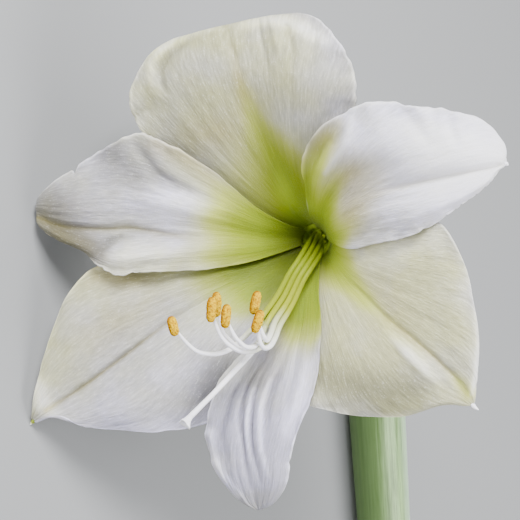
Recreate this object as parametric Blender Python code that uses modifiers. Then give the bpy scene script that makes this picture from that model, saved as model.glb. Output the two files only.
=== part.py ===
"""One amaryllis flower on its cut stalk, lying on a table.

The bloom is drawn as it is seen from in front, in millimetres: x to the right, y up, z towards the eye, from
a point at the mouth of the throat. That drawing is then laid down, so that the stalk and two tepal tips rest
on the table. World: +Z up, +Y along the stalk towards the bloom, origin under the middle of the flower.
"""
import math

import bmesh
import bpy
from mathutils import Matrix, Vector

MM = 0.001

# How the bloom is seen
EYE = Vector((-19.0, -7.0, 700.0))
THROAT = Vector((4.5, 1.5, 0.0))
TURN_LEFT = math.radians(19.0)
TURN_DOWN = math.radians(6.0)

# How the flower lies
ROLL = math.radians(39.0)
STALK_LEAN = math.radians(4.4)
STALK_AXIS = Vector((31.0, 0.0, -85.0))
STALK_HEIGHT = 13.2
SHIFT_X = 74.3
SHIFT_Y = 79.7

# The trumpet that all tepals follow: distance from the bloom's axis, height along it
TRUMPET = (
    (0.0, -20.0),
    (7.2, 0.0),
    (10.5, 8.0),
    (16.0, 18.0),
    (25.0, 29.0),
    (38.0, 40.5),
    (54.0, 50.0),
    (72.0, 56.5),
    (90.0, 58.0),
    (106.0, 55.0),
    (125.0, 47.0),
    (148.0, 34.0),
)

# Tepals
BLADE = 0.8
TEPAL_ROWS = 22
TEPAL_COLUMNS = 10

# Throat, ovary and the stalk behind the bloom
CUP_RIM = 8.0
CUP_BORE = 4.6
CUP_RIM_HEIGHT = -0.5
CUP_FLOOR = -6.0
CUP_FOOT = 5.5
CUP_FOOT_HEIGHT = -14.0
OVARY_TOP = -14.3
OVARY_LENGTH = 19.7
OVARY_RADIUS = 6.4
PEDICEL_RADIUS = 4.6
PEDICEL_REACH = 30.0
GAP = 0.3

# Stalk, with its cut end open
STALK_TOP_BELOW_AXIS_POINT = 22.1
STALK_LENGTH = 238.0
STALK_BODY = ((0.0, 12.0), (30.0, 13.0), (59.0, 13.5), (109.0, 12.7), (238.0, 12.5))
STALK_SHOULDER = ((6.0, 0.0), (9.5, 1.3), (11.3, 4.0))
STALK_SHOULDER_DEPTH = 9.0
STALK_BORE = 8.5
STALK_BORE_END = 16.0
STALK_SIDES = 32
REST_FLAT = 0.26

# Stamens and style
RING_HEIGHT = -5.6
STRAND = 1.9
STYLE = 2.2
STRAND_POINTS = 22
ANTHER_LENGTH = 9.6
ANTHER_WIDTH = 4.0
ANTHER_DEPTH = 3.6
ANTHER_HOLD = 1.2
STIGMA_LENGTH = 3.6
STIGMA_RADIUS = 2.3

# The bundle in which they leave the throat: its middle line, as seen, and the direction across it
BUNDLE = (
    (3.8, -3.0, 12.0),
    (0.0, -9.8, 25.0),
    (-3.4, -15.7, 31.0),
    (-8.0, -24.5, 42.0),
    (-13.5, -33.0, 52.0),
)
BUNDLE_ACROSS = Vector((0.785, -0.62, 0.0)).normalized()
BUNDLE_WIDTHS = (0.92, 0.94, 0.97, 1.0, 1.0)

# Each tepal: its claw (radius, bearing, half width as an angle, height), how much its two halves bulge,
# its margin's ruffle (height, number), and its rows of three seen points from the throat to the tip.
# A row is left margin, middle, right margin, each as x, y and its height over the trumpet.
TEPALS = {
    "top_sepal": {
        "claw": (7.2, 101.0, 40.0, 0.0),
        "bulge": 2.5,
        "ruffle": (0.9, 7.0),
        "rows": (
            ((-18.5, 12.5, -1), (-9, 22.5, -1), (7, 24, -1)),
            ((-37, 22.5, -1), (-15, 34.5, -1), (12.5, 37.5, -1)),
            ((-56.5, 36, -1), (-19, 48, 0), (19, 50.5, -1)),
            ((-70.5, 49, -1), (-23, 61.5, 1), (22, 63.5, 0)),
            ((-74, 62, -1), (-26, 75.5, 1), (19.5, 77.5, 0)),
            ((-68.5, 77, -3), (-28, 86, -2), (12.5, 88.5, -1)),
            ((-53.5, 87.5, -8), (-29, 93.5, -8), (1, 97.5, -5)),
            ((-39, 88, -20), (-30, 91, -19), (-20, 93, -18)),
            ((-35, 84, -27), (-30, 86, -27), (-25, 87, -26)),
            ((-31, 79, -31), (-30, 79, -31.5), (-29, 79.5, -31)),
        ),
    },
    "left_petal": {
        "claw": (5.6, 168.0, 33.0, 4.4),
        "bulge": 3.0,
        "ruffle": (0.8, 8.0),
        "rows": (
            ((-18.5, 14, 4), (-18.5, 3, 4), (-18.5, -6.5, 4)),
            ((-34, 27, 4), (-32, 5, 4), (-34.5, -10, 4)),
            ((-49, 37.5, 5), (-46, 6.5, 3), (-51.5, -11.5, 6)),
            ((-61, 43.5, 5), (-59.5, 7, 2), (-67, -12, 8)),
            ((-71.5, 46.5, 2), (-72.5, 5.5, 1), (-79, -13.5, 7)),
            ((-83.5, 41.5, -1), (-84, 5, 0), (-87.5, -9.5, 4)),
            ((-96, 33.5, -2), (-95, 6, -0.5), (-95.5, -2.5, 1)),
            ((-107.5, 25.5, -2.5), (-105.5, 8.5, -1.5), (-105, 1.5, 0)),
            ((-113, 19, -2.5), (-113.5, 12, -2.5), (-112.3, 7, -1)),
            ((-114.3, 15, -3), (-114.7, 12.5, -3), (-114.3, 10.5, -2.5)),
        ),
    },
    "lower_left_sepal": {
        "claw": (7.2, 217.0, 38.0, 0.0),
        "bulge": 1.5,
        "ruffle": (0.7, 6.0),
        "rows": (
            ((-18.5, -4, -1), (-13.5, -12, -1), (-5.5, -23, -1)),
            ((-34.5, -6, -1), (-27, -17.5, -1), (-12, -37, -1)),
            ((-53, -7, -1), (-41.5, -25, -1), (-19, -50, -1)),
            ((-73, -8, -1), (-56.5, -34.5, -1), (-26.5, -62.5, -1)),
            ((-89, -10, -1), (-71.5, -44, 0), (-36, -73.5, -1.5)),
            ((-99.5, -20, 0), (-84.5, -53, 2), (-53, -79.5, 0.5)),
            ((-107, -36, 3), (-95.5, -61, 5), (-75, -79.5, 3)),
            ((-112, -52, 8), (-105, -68, 9), (-92.5, -78, 7.5)),
            ((-115.5, -66, 14.5), (-111.5, -72.5, 13.5), (-105, -73.3, 12)),
            ((-116, -74.5, 15.5), (-115.2, -75.4, 15), (-114.4, -76, 15.5)),
        ),
    },
    "bottom_petal": {
        "claw": (5.6, 274.0, 30.0, 4.4),
        "bulge": 1.5,
        "ruffle": (0.5, 9.0),
        "rows": (
            ((-6, -20, 3.5), (-1.5, -22, 3.5), (6, -20, 3.5)),
            ((-12, -30, 3), (-4, -34, 3), (7, -32, 3)),
            ((-22, -42, 2.5), (-8.5, -45.5, 2.5), (6.5, -43.5, 2.5)),
            ((-33.5, -54, 2.5), (-12.5, -58, 2.5), (5.5, -56, 2.5)),
            ((-39.5, -67, 2.5), (-16.5, -70, 2.5), (2, -68, 1.5)),
            ((-41.8, -79.5, 1.5), (-19.5, -82, 1.5), (-3, -80, 0)),
            ((-39.5, -91.5, -2), (-21.5, -93, 0), (-5.8, -91, -2)),
            ((-34.8, -101, -3), (-21.5, -102.5, -2), (-7.3, -101, -3)),
            ((-28, -109, -4), (-20.5, -110, -4), (-12, -109.3, -4)),
            ((-21.5, -112.8, -5), (-19.5, -113, -5), (-17.5, -112.6, -5)),
        ),
    },
    "lower_right_sepal": {
        "claw": (7.2, 324.0, 38.0, 0.0),
        "bulge": 1.5,
        "ruffle": (0.5, 7.0),
        "rows": (
            ((4, -24, -1), (14, -15, -1), (23, 1, -1)),
            ((2.5, -33, -1), (22.5, -21.5, -1), (32, 5, -1)),
            ((0, -45, -1), (31.5, -29, -1), (41.5, 8, -1)),
            ((-2.5, -57, -1), (39.5, -36, -1), (50.5, 10, -1)),
            ((-1.5, -66.5, -1), (47, -43, -1), (58.3, 7.8, -1)),
            ((10.5, -71.2, -1), (53, -49, -1), (67.3, -7, -1)),
            ((25.5, -73.3, -2), (58.5, -54.5, -2), (71.7, -24, -2)),
            ((41.5, -73.5, -3), (63.5, -60, -3), (74.2, -43, -3)),
            ((57, -68.8, -4), (68, -64.5, -4), (73.2, -58, -4)),
            ((70.3, -68.7, -5), (71.5, -68.7, -5), (72.2, -67, -5)),
        ),
    },
    "right_petal": {
        "claw": (5.6, 42.0, 36.0, 4.4),
        "bulge": 3.0,
        "ruffle": (0.8, 8.0),
        "rows": (
            ((0.5, 22.5, 3.5), (10.5, 16, 3.5), (17, -2, 3.5)),
            ((-1.5, 34, 4), (20, 21.5, 3), (30, 0, 3)),
            ((4, 46, 4), (31, 24, 3), (41, 2, 3)),
            ((19, 57, 3), (41.5, 24, 3), (51, 6, 2)),
            ((34.5, 61, 1), (51, 25, 2), (59.5, 11.5, 1)),
            ((49, 58, 0), (60, 26, 1), (67, 17, 0)),
            ((63.5, 56.8, -2), (68, 28, 0), (74, 22, -2)),
            ((77.8, 51, -4), (76, 30, -2), (79.5, 27, -3)),
            ((85, 42, -5), (81.5, 32.5, -4), (82.7, 31.5, -5)),
            ((85.6, 35.2, -6), (85.4, 34, -6), (84.4, 32.6, -6)),
        ),
    },
}

# Each stamen: its angle on the ring it grows from, its place in the bundle (across, towards the eye), the
# points of its free part as seen, and the two ends of its anther.
STAMENS = (
    {
        "ring": 170.0,
        "bundle": (-4.0, 0.6),
        "free": (
            (-20.5, -34.5, 53.0),
            (-23.5, -37.5, 54.5),
            (-27.0, -41.0, 56.0),
            (-31.0, -44.5, 58.5),
            (-35.5, -46.5, 61.0),
            (-40.0, -47.0, 64.0),
            (-45.5, -46.0, 67.0),
            (-50.0, -42.5, 69.5),
        ),
        "anther": ((-55.0, -39.0, 74.0), (-57.0, -31.5, 76.0)),
    },
    {
        "ring": 310.0,
        "bundle": (2.8, -1.8),
        "free": (
            (-14.5, -39.5, 53.0),
            (-18.0, -43.5, 58.5),
            (-21.5, -45.5, 62.0),
            (-25.0, -46.0, 66.0),
            (-28.0, -45.5, 68.5),
            (-31.0, -44.0, 70.5),
            (-34.0, -41.5, 72.5),
            (-36.5, -37.5, 74.0),
        ),
        "anther": ((-40.0, -33.0, 77.5), (-39.5, -23.5, 79.5)),
    },
    {
        "ring": 230.0,
        "bundle": (-2.8, -1.8),
        "free": (
            (-18.5, -39.5, 53.0),
            (-20.0, -43.0, 55.5),
            (-22.5, -45.0, 57.5),
            (-25.5, -45.5, 60.0),
            (-28.0, -44.5, 62.5),
            (-30.5, -42.5, 65.0),
            (-33.0, -40.0, 67.0),
            (-35.0, -37.0, 68.0),
        ),
        "anther": ((-37.5, -31.0, 71.5), (-37.5, -21.0, 73.5)),
    },
    {
        "ring": 115.0,
        "bundle": (-1.35, 1.2),
        "free": (
            (-17.0, -36.0, 54.5),
            (-18.5, -39.5, 58.0),
            (-20.0, -42.5, 62.0),
            (-22.0, -44.0, 66.0),
            (-25.0, -44.0, 69.5),
            (-27.5, -42.0, 71.5),
            (-30.0, -39.0, 73.0),
        ),
        "anther": ((-34.0, -36.0, 76.0), (-33.0, -26.0, 78.0)),
    },
    {
        "ring": 65.0,
        "bundle": (1.35, 1.4),
        "free": (
            (-14.5, -38.5, 57.5),
            (-16.0, -41.0, 61.0),
            (-17.5, -39.5, 64.5),
            (-19.0, -36.0, 66.0),
            (-20.5, -32.0, 67.0),
        ),
        "anther": ((-22.0, -30.0, 70.5), (-20.0, -20.5, 72.5)),
    },
    {
        "ring": 10.0,
        "bundle": (4.0, 0.8),
        "free": (
            (-12.5, -40.0, 57.0),
            (-14.5, -43.5, 60.5),
            (-17.0, -44.5, 64.0),
            (-18.5, -43.0, 66.5),
            (-19.5, -39.5, 68.0),
        ),
        "anther": ((-21.5, -38.0, 71.5), (-18.5, -28.5, 73.5)),
    },
)
STYLE_BUNDLE = (0.0, -1.3)
STYLE_FREE = (
    (-16.0, -38.0, 49.5),
    (-20.5, -43.5, 50.0),
    (-24.0, -48.0, 52.5),
    (-31.0, -55.5, 59.5),
    (-37.5, -62.5, 64.5),
    (-43.5, -68.5, 69.0),
    (-48.5, -73.5, 72.5),
)
STYLE_TIP = (-51.5, -77.0, 74.5)

# Withered bracts at the top of the stalk: direction round the stalk, then distance out and height up
BRACTS = {
    "spathe_1": {
        "turn": 24.0,
        "line": ((8.2, -0.3), (13.0, 13.0), (23.0, 27.0), (38.0, 38.0)),
        "twist": 24.0,
    },
    "spathe_2": {
        "turn": 178.0,
        "line": ((8.2, -0.3), (14.0, 12.0), (25.0, 23.0), (41.0, 31.0)),
        "twist": -20.0,
    },
}
BRACT_THICKNESS = 0.7
BRACT_ROWS = 12
BRACT_COLUMNS = 6

COLOURS = {
    "sepal": (0.80, 0.79, 0.68, 1.0),
    "petal": (0.83, 0.82, 0.78, 1.0),
    "throat": (0.45, 0.55, 0.12, 1.0),
    "stalk": (0.36, 0.52, 0.26, 1.0),
    "filament": (0.82, 0.82, 0.76, 1.0),
    "anther": (0.62, 0.36, 0.06, 1.0),
    "bract": (0.52, 0.40, 0.24, 1.0),
}


def start_scene():
    """Remove what is in the scene and return a collection for the flower."""
    for item in list(bpy.data.objects):
        bpy.data.objects.remove(item, do_unlink=True)
    collection = bpy.data.collections.new("amaryllis_flower")
    bpy.context.scene.collection.children.link(collection)
    return collection


def make_material(name, colour, roughness):
    """Return a Principled material with one colour."""
    material = bpy.data.materials.new(name)
    material.use_nodes = True
    principled = material.node_tree.nodes["Principled BSDF"]
    principled.inputs["Base Color"].default_value = colour
    principled.inputs["Roughness"].default_value = roughness
    principled.inputs["Metallic"].default_value = 0.0
    material.diffuse_color = colour
    return material


def lying_matrix():
    """Return the matrix that takes the drawing, in metres, to the flower lying on the table."""
    down = Vector((math.sin(STALK_LEAN), -math.cos(STALK_LEAN), -math.sin(STALK_LEAN) * math.tan(ROLL)))
    along = -down.normalized()
    up = Vector((math.sin(ROLL), 0.0, math.cos(ROLL)))
    side = along.cross(up).normalized()
    turned = Matrix((side, along, up)).to_4x4()
    table_point = STALK_AXIS - STALK_HEIGHT * up
    to_table = Matrix.Translation(-table_point * MM)
    shift = Matrix.Translation(Vector((SHIFT_X, SHIFT_Y, 0.0)) * MM)
    return shift @ turned @ to_table


def bloom_matrix():
    """Return the matrix of the bloom's own frame in the drawing: z out of the throat, along its axis."""
    front = Vector((
        -math.sin(TURN_LEFT) * math.cos(TURN_DOWN),
        -math.sin(TURN_DOWN),
        math.cos(TURN_LEFT) * math.cos(TURN_DOWN),
    ))
    across = Vector((math.cos(TURN_LEFT), 0.0, math.sin(TURN_LEFT)))
    upward = front.cross(across)
    turned = Matrix((across, upward, front)).transposed().to_4x4()
    return Matrix.Translation(THROAT * MM) @ turned


def trumpet_slopes():
    """Return the slope of the trumpet's profile at each of its points, without overshoot between them."""
    steps = [(b[0] - a[0], (b[1] - a[1]) / (b[0] - a[0])) for a, b in zip(TRUMPET[:-1], TRUMPET[1:])]
    slopes = [steps[0][1]]
    for (width_a, rise_a), (width_b, rise_b) in zip(steps[:-1], steps[1:]):
        if rise_a * rise_b <= 0.0:
            slopes.append(0.0)
            continue
        weight_a = 2.0 * width_b + width_a
        weight_b = width_b + 2.0 * width_a
        slopes.append((weight_a + weight_b) / (weight_a / rise_a + weight_b / rise_b))
    slopes.append(steps[-1][1])
    return slopes


TRUMPET_SLOPES = trumpet_slopes()


def trumpet(reach):
    """Return the trumpet's height at a distance from the bloom's axis."""
    index = 0
    while index < len(TRUMPET) - 2 and reach > TRUMPET[index + 1][0]:
        index += 1
    start, end = TRUMPET[index], TRUMPET[index + 1]
    width = end[0] - start[0]
    t = (reach - start[0]) / width
    slope_in = width * TRUMPET_SLOPES[index]
    slope_out = width * TRUMPET_SLOPES[index + 1]
    near = (2 * t ** 3 - 3 * t ** 2 + 1) * start[1] + (t ** 3 - 2 * t ** 2 + t) * slope_in
    far = (3 * t ** 2 - 2 * t ** 3) * end[1] + (t ** 3 - t ** 2) * slope_out
    return near + far


def seen_point(x, y, depth):
    """Return the point of the drawing that the eye sees at (x, y), at a depth towards it."""
    return EYE + (Vector((x, y, 0.0)) - EYE) * (1.0 - depth / EYE.z)


TO_BLOOM = Matrix.Diagonal((1 / MM, 1 / MM, 1 / MM, 1.0)) @ bloom_matrix().inverted()


def in_bloom(point):
    """Return a point of the drawing, in millimetres, in the bloom's own frame."""
    return TO_BLOOM @ (point * MM)


def seen_on_trumpet(x, y, lift):
    """Return reach, bearing and lift of the trumpet point, raised by lift, that the eye sees at (x, y)."""
    def height_over(depth):
        point = in_bloom(seen_point(x, y, depth))
        return point.z - trumpet(math.hypot(point.x, point.y)) - lift

    depth = 170.0
    while height_over(depth) > 0.0:
        depth -= 3.0
    low, high = depth, depth + 3.0
    for _ in range(30):
        middle = (low + high) / 2.0
        if height_over(middle) > 0.0:
            high = middle
        else:
            low = middle
    point = in_bloom(seen_point(x, y, low))
    return Vector((math.hypot(point.x, point.y), math.atan2(point.y, point.x), lift))


def along_curve(points, t):
    """Return the point at t, from 0 to 1, of a smooth curve through the points."""
    place = t * (len(points) - 1)
    index = min(int(place), len(points) - 2)
    t = place - index
    start, end = points[index], points[index + 1]
    before = points[index - 1] if index > 0 else 2 * start - end
    after = points[index + 2] if index + 2 < len(points) else 2 * end - start
    pull = (end - before) / 2.0
    leave = (after - start) / 2.0
    near = (2 * t ** 3 - 3 * t ** 2 + 1) * start + (t ** 3 - 2 * t ** 2 + t) * pull
    far = (3 * t ** 2 - 2 * t ** 3) * end + (t ** 3 - t ** 2) * leave
    return near + far


def near_bearing(bearing, middle):
    """Return the bearing, in whole turns moved to lie within half a turn of the middle one."""
    return middle + math.remainder(bearing - middle, math.tau)


def tepal_rails(tepal):
    """Return a tepal's left margin, middle line and right margin as reach, bearing and lift."""
    radius, bearing, half_width, claw_lift = tepal["claw"]
    middle = math.radians(bearing)
    rails = []
    for side in range(3):
        seen = [seen_on_trumpet(*row[side]) for row in tepal["rows"]]
        rails.append([Vector((p.x, near_bearing(p.y, middle), p.z)) for p in seen])
    left_is_ahead = rails[0][2].y > rails[1][2].y
    turn = math.radians(half_width) if left_is_ahead else -math.radians(half_width)
    for rail, offset in zip(rails, (turn, 0.0, -turn)):
        rail.insert(0, Vector((radius, middle + offset, claw_lift)))
    return rails


def tepal_point(tepal, rails, across, along):
    """Return a point of the blade's middle surface: across from -1 to 1, along from 0 to 1."""
    left, middle, right = (along_curve(rail, along) for rail in rails)
    place = middle + across * (right - left) / 2.0 + across * across * ((right + left) / 2.0 - middle)
    bulge = tepal["bulge"] * math.sin(math.pi * along) ** 0.8 * math.sin(math.pi * abs(across)) ** 2
    height, count = tepal["ruffle"]
    wave = math.sin(math.tau * count * along + 2.0 * across)
    ruffle = height * wave * across ** 4 * math.sin(math.pi * along) ** 2
    reach = place.x
    up = trumpet(reach) + place.z + bulge + ruffle
    return Vector((reach * math.cos(place.y), reach * math.sin(place.y), up)) * MM


def add_object(name, mesh, material, collection, parent):
    """Put a mesh in the scene under its name, material and parent."""
    item = bpy.data.objects.new(name, mesh)
    item.data.materials.append(material)
    item.parent = parent
    collection.objects.link(item)
    return item


def add_empty(name, matrix, collection, parent=None):
    """Add a frame that other objects hang under."""
    empty = bpy.data.objects.new(name, None)
    empty.empty_display_size = 0.02
    empty.parent = parent
    empty.matrix_local = matrix
    collection.objects.link(empty)
    return empty


def make_blade(name, point_at, columns, rows, thickness, material, collection, parent):
    """Lay a grid over a surface given as a function, and give it its thickness."""
    mesh = bpy.data.meshes.new(name)
    cage = bmesh.new()
    bmesh.ops.create_grid(cage, x_segments=columns, y_segments=rows, size=1.0)
    for vertex in cage.verts:
        vertex.co = point_at(vertex.co.x, (vertex.co.y + 1.0) / 2.0)
    cage.to_mesh(mesh)
    cage.free()
    mesh.shade_smooth()
    blade = add_object(name, mesh, material, collection, parent)
    blade.modifiers.new("even_split", "TRIANGULATE")
    solidify = blade.modifiers.new("blade", "SOLIDIFY")
    solidify.thickness = thickness * MM
    solidify.offset = 0.0
    return blade


def make_turned(name, profile, sides, material, collection, parent):
    """Turn a profile of (radius, height) points, given from the top down its outer side."""
    mesh = bpy.data.meshes.new(name)
    outline = bmesh.new()
    line = [outline.verts.new((radius * MM, 0.0, height * MM)) for radius, height in profile]
    for start, end in zip(line[:-1], line[1:]):
        outline.edges.new((start, end))
    outline.to_mesh(mesh)
    outline.free()
    turned = add_object(name, mesh, material, collection, parent)
    screw = turned.modifiers.new("turned", "SCREW")
    screw.steps = sides
    screw.render_steps = sides
    screw.use_merge_vertices = True
    screw.merge_threshold = 0.0001
    screw.use_smooth_shade = True
    return turned


def apply_modifiers(item):
    """Replace an object's mesh by what its modifiers make of it."""
    graph = bpy.context.evaluated_depsgraph_get()
    mesh = bpy.data.meshes.new_from_object(item.evaluated_get(graph))
    item.modifiers.clear()
    item.data = mesh
    return mesh


def make_lobed(item, depth):
    """Draw a turned piece out into three rounded lobes."""
    mesh = apply_modifiers(item)
    for vertex in mesh.vertices:
        turn = math.atan2(vertex.co.y, vertex.co.x)
        scale = 1.0 + depth * math.cos(3.0 * turn)
        vertex.co.x *= scale
        vertex.co.y *= scale


def make_strand(name, points, radius, sides_setting, material, collection, parent):
    """Make a round strand with flat ends along the points, given in metres."""
    curve = bpy.data.curves.new(name, "CURVE")
    curve.dimensions = "3D"
    curve.bevel_depth = radius * MM
    curve.bevel_resolution = sides_setting
    curve.use_fill_caps = True
    curve.twist_mode = "MINIMUM"
    spline = curve.splines.new("POLY")
    spline.points.add(len(points) - 1)
    for place, point in zip(spline.points, points):
        place.co = (point.x, point.y, point.z, 1.0)
    return add_object(name, curve, material, collection, parent)


def ring_place(turn_degrees, radius, height):
    """Return a point of the drawing on a ring round the bloom's axis, counted from the bundle's across."""
    matrix = bloom_matrix()
    front = (matrix.to_3x3() @ Vector((0.0, 0.0, 1.0))).normalized()
    across = (BUNDLE_ACROSS - front * BUNDLE_ACROSS.dot(front)).normalized()
    second = front.cross(across)
    turn = math.radians(turn_degrees)
    offset = across * math.cos(turn) * radius + second * math.sin(turn) * radius
    return THROAT + front * height + offset


def bundle_points(place):
    """Return a strand's points inside the bundle, beside the bundle's middle line."""
    middle = [seen_point(*point) for point in BUNDLE]
    points = []
    for index, point in enumerate(middle):
        before = middle[index - 1] if index > 0 else THROAT
        after = middle[index + 1] if index + 1 < len(middle) else point * 2.0 - before
        run = (after - before).normalized()
        across = (BUNDLE_ACROSS - run * BUNDLE_ACROSS.dot(run)).normalized()
        towards_eye = run.cross(across)
        width = BUNDLE_WIDTHS[index]
        points.append(point + across * place[0] * width + towards_eye * place[1] * width)
    return points


def strand_points(control, count):
    """Return evenly counted points, in metres, of a smooth curve through the control points."""
    return [along_curve(control, step / (count - 1)) * MM for step in range(count)]


def make_anther(name, low_end, high_end, material, collection, parent):
    """Make one long anther between its two ends."""
    mesh = bpy.data.meshes.new(name)
    ball = bmesh.new()
    bmesh.ops.create_uvsphere(ball, u_segments=10, v_segments=8, radius=0.5 * MM)
    bmesh.ops.scale(ball, vec=(ANTHER_WIDTH, ANTHER_DEPTH, ANTHER_LENGTH), verts=ball.verts)
    ball.to_mesh(mesh)
    ball.free()
    mesh.shade_smooth()
    anther = add_object(name, mesh, material, collection, parent)
    anther.location = (low_end + high_end) / 2.0 * MM
    anther.rotation_mode = "QUATERNION"
    anther.rotation_quaternion = (high_end - low_end).to_track_quat("Z", "Y")
    return anther


def make_stamen(number, stamen, filament_material, anther_material, collection, parent):
    """Make one filament, from the cup's floor to the back of its anther, and the anther."""
    low_end, high_end = (seen_point(*end) for end in stamen["anther"])
    run = (high_end - low_end).normalized()
    back = (run * run.z - Vector((0.0, 0.0, 1.0))).normalized()
    behind = ANTHER_DEPTH / 2.0 + STRAND / 2.0 + GAP
    control = [ring_place(stamen["ring"], 3.0, RING_HEIGHT), ring_place(stamen["ring"], 3.2, 3.0)]
    control += bundle_points(stamen["bundle"])
    control += [seen_point(*point) for point in stamen["free"]]
    control.append((low_end + high_end) / 2.0 - run * ANTHER_HOLD + back * behind)
    points = strand_points(control, STRAND_POINTS)
    make_strand(f"filament_{number}", points, STRAND / 2.0, 2, filament_material, collection, parent)
    make_anther(f"anther_{number}", low_end, high_end, anther_material, collection, parent)


def make_style(style_material, stigma_material, collection, parent):
    """Make the style and the three-lobed stigma at its end."""
    control = [ring_place(0.0, 0.0, RING_HEIGHT), ring_place(0.0, 0.0, 3.0)]
    control += bundle_points(STYLE_BUNDLE)
    control += [seen_point(*point) for point in STYLE_FREE]
    tip = seen_point(*STYLE_TIP)
    run = (tip - control[-1]).normalized()
    points = strand_points(control, STRAND_POINTS)
    make_strand("style", points, STYLE / 2.0, 2, style_material, collection, parent)
    profile = ((0.0, STIGMA_LENGTH - 0.8), (STIGMA_RADIUS, STIGMA_LENGTH), (1.5, 1.5), (1.1, 0.0), (0.0, 0.0))
    stigma = make_turned("stigma", profile, 18, stigma_material, collection, parent)
    make_lobed(stigma, 0.2)
    stigma.location = (control[-1] + run * 2.0 * GAP) * MM
    stigma.rotation_mode = "QUATERNION"
    stigma.rotation_quaternion = run.to_track_quat("Z", "Y")


def make_cup(material, collection, parent):
    """Make the green cup that the tepals and stamens grow from, open to the front."""
    profile = (
        (0.0, CUP_FLOOR),
        (CUP_BORE, CUP_FLOOR),
        (CUP_BORE, CUP_RIM_HEIGHT),
        (CUP_RIM, CUP_RIM_HEIGHT),
        (CUP_RIM - 0.4, -4.0),
        (CUP_FOOT + 0.6, -10.0),
        (CUP_FOOT, CUP_FOOT_HEIGHT),
        (0.0, CUP_FOOT_HEIGHT),
    )
    make_turned("perianth_tube", profile, 24, material, collection, parent)


def make_ovary(material, collection, parent):
    """Make the three-lobed ovary behind the cup."""
    profile = (
        (0.0, OVARY_TOP),
        (4.9, OVARY_TOP),
        (5.7, OVARY_TOP - 3.0),
        (OVARY_RADIUS, OVARY_TOP - 8.0),
        (OVARY_RADIUS, OVARY_TOP - 12.0),
        (5.5, OVARY_TOP - 17.0),
        (4.6, OVARY_TOP - OVARY_LENGTH),
        (0.0, OVARY_TOP - OVARY_LENGTH),
    )
    ovary = make_turned("ovary", profile, 24, material, collection, parent)
    make_lobed(ovary, 0.06)


def stalk_radius(below_top):
    """Return the stalk's radius at a distance below its top."""
    for start, end in zip(STALK_BODY[:-1], STALK_BODY[1:]):
        if below_top <= end[0]:
            return start[1] + (end[1] - start[1]) * (below_top - start[0]) / (end[0] - start[0])
    return STALK_BODY[-1][1]


def make_stalk(material, collection, parent):
    """Make the hollow stalk, its underside straight along the table and open at the cut end."""
    outside = [(0.0, 0.0)]
    outside += [(radius, -below) for radius, below in STALK_SHOULDER]
    outside.append((stalk_radius(STALK_SHOULDER_DEPTH), -STALK_SHOULDER_DEPTH))
    outside += [(radius, -below) for below, radius in STALK_BODY[1:]]
    inside = [(STALK_BORE, -STALK_LENGTH), (STALK_BORE, -STALK_BORE_END - 4.0), (5.0, -STALK_BORE_END)]
    profile = outside + inside + [(0.0, -STALK_BORE_END)]
    stalk = make_turned("scape", profile, STALK_SIDES, material, collection, parent)
    mesh = apply_modifiers(stalk)
    for vertex in mesh.vertices:
        centre = stalk_radius(-vertex.co.z / MM) * MM
        height = max(centre - vertex.co.y, REST_FLAT * MM)
        vertex.co.y = -height
    stalk.location = (0.0, 0.0, -REST_FLAT * MM)
    stalk.rotation_euler = (-math.pi / 2.0, 0.0, 0.0)


def make_pedicel(material, collection, start, leave, end, arrive):
    """Make the bent stalk between the ovary and the top of the main one."""
    handles = [start, start + leave * PEDICEL_REACH * MM, end - arrive * PEDICEL_REACH * MM, end]
    points = [start]
    for step in range(15):
        t = step / 14.0
        weights = ((1 - t) ** 3, 3 * t * (1 - t) ** 2, 3 * t * t * (1 - t), t ** 3)
        points.append(sum((handle * weight for handle, weight in zip(handles, weights)), Vector()))
    points[1] = start + leave * MM
    points[-1] = end - arrive * MM
    points.append(end)
    make_strand("pedicel", points, PEDICEL_RADIUS, 3, material, collection, None)


def bract_point(bract, across, along):
    """Return a point of a withered bract, rolled inwards like a gutter."""
    line = [Vector((out, up, 0.0)) for out, up in bract["line"]]
    place = along_curve(line, along)
    run = (along_curve(line, min(along + 0.02, 1.0)) - along_curve(line, max(along - 0.02, 0.0))).normalized()
    half_width = 6.0 * (1.0 - along) + 8.0 * math.sin(math.pi * along) ** 0.8 * (1.0 - along) + 0.8 * along
    roll = math.radians(42.0 + 30.0 * math.sin(math.pi * along))
    radius = half_width / roll
    side_step = radius * math.sin(across * roll)
    inward = radius * (1.0 - math.cos(across * roll))
    twist = math.radians(bract["twist"]) * along
    level = side_step * math.cos(twist) - inward * math.sin(twist)
    inward_turned = side_step * math.sin(twist) + inward * math.cos(twist)
    out = place.x - run.y * inward_turned
    up = place.y + run.x * inward_turned
    turn = math.radians(bract["turn"])
    outward = Vector((math.cos(turn), 0.0, math.sin(turn)))
    sideways = Vector((-math.sin(turn), 0.0, math.cos(turn)))
    return (outward * out + sideways * level + Vector((0.0, 1.0, 0.0)) * up) * MM


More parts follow.
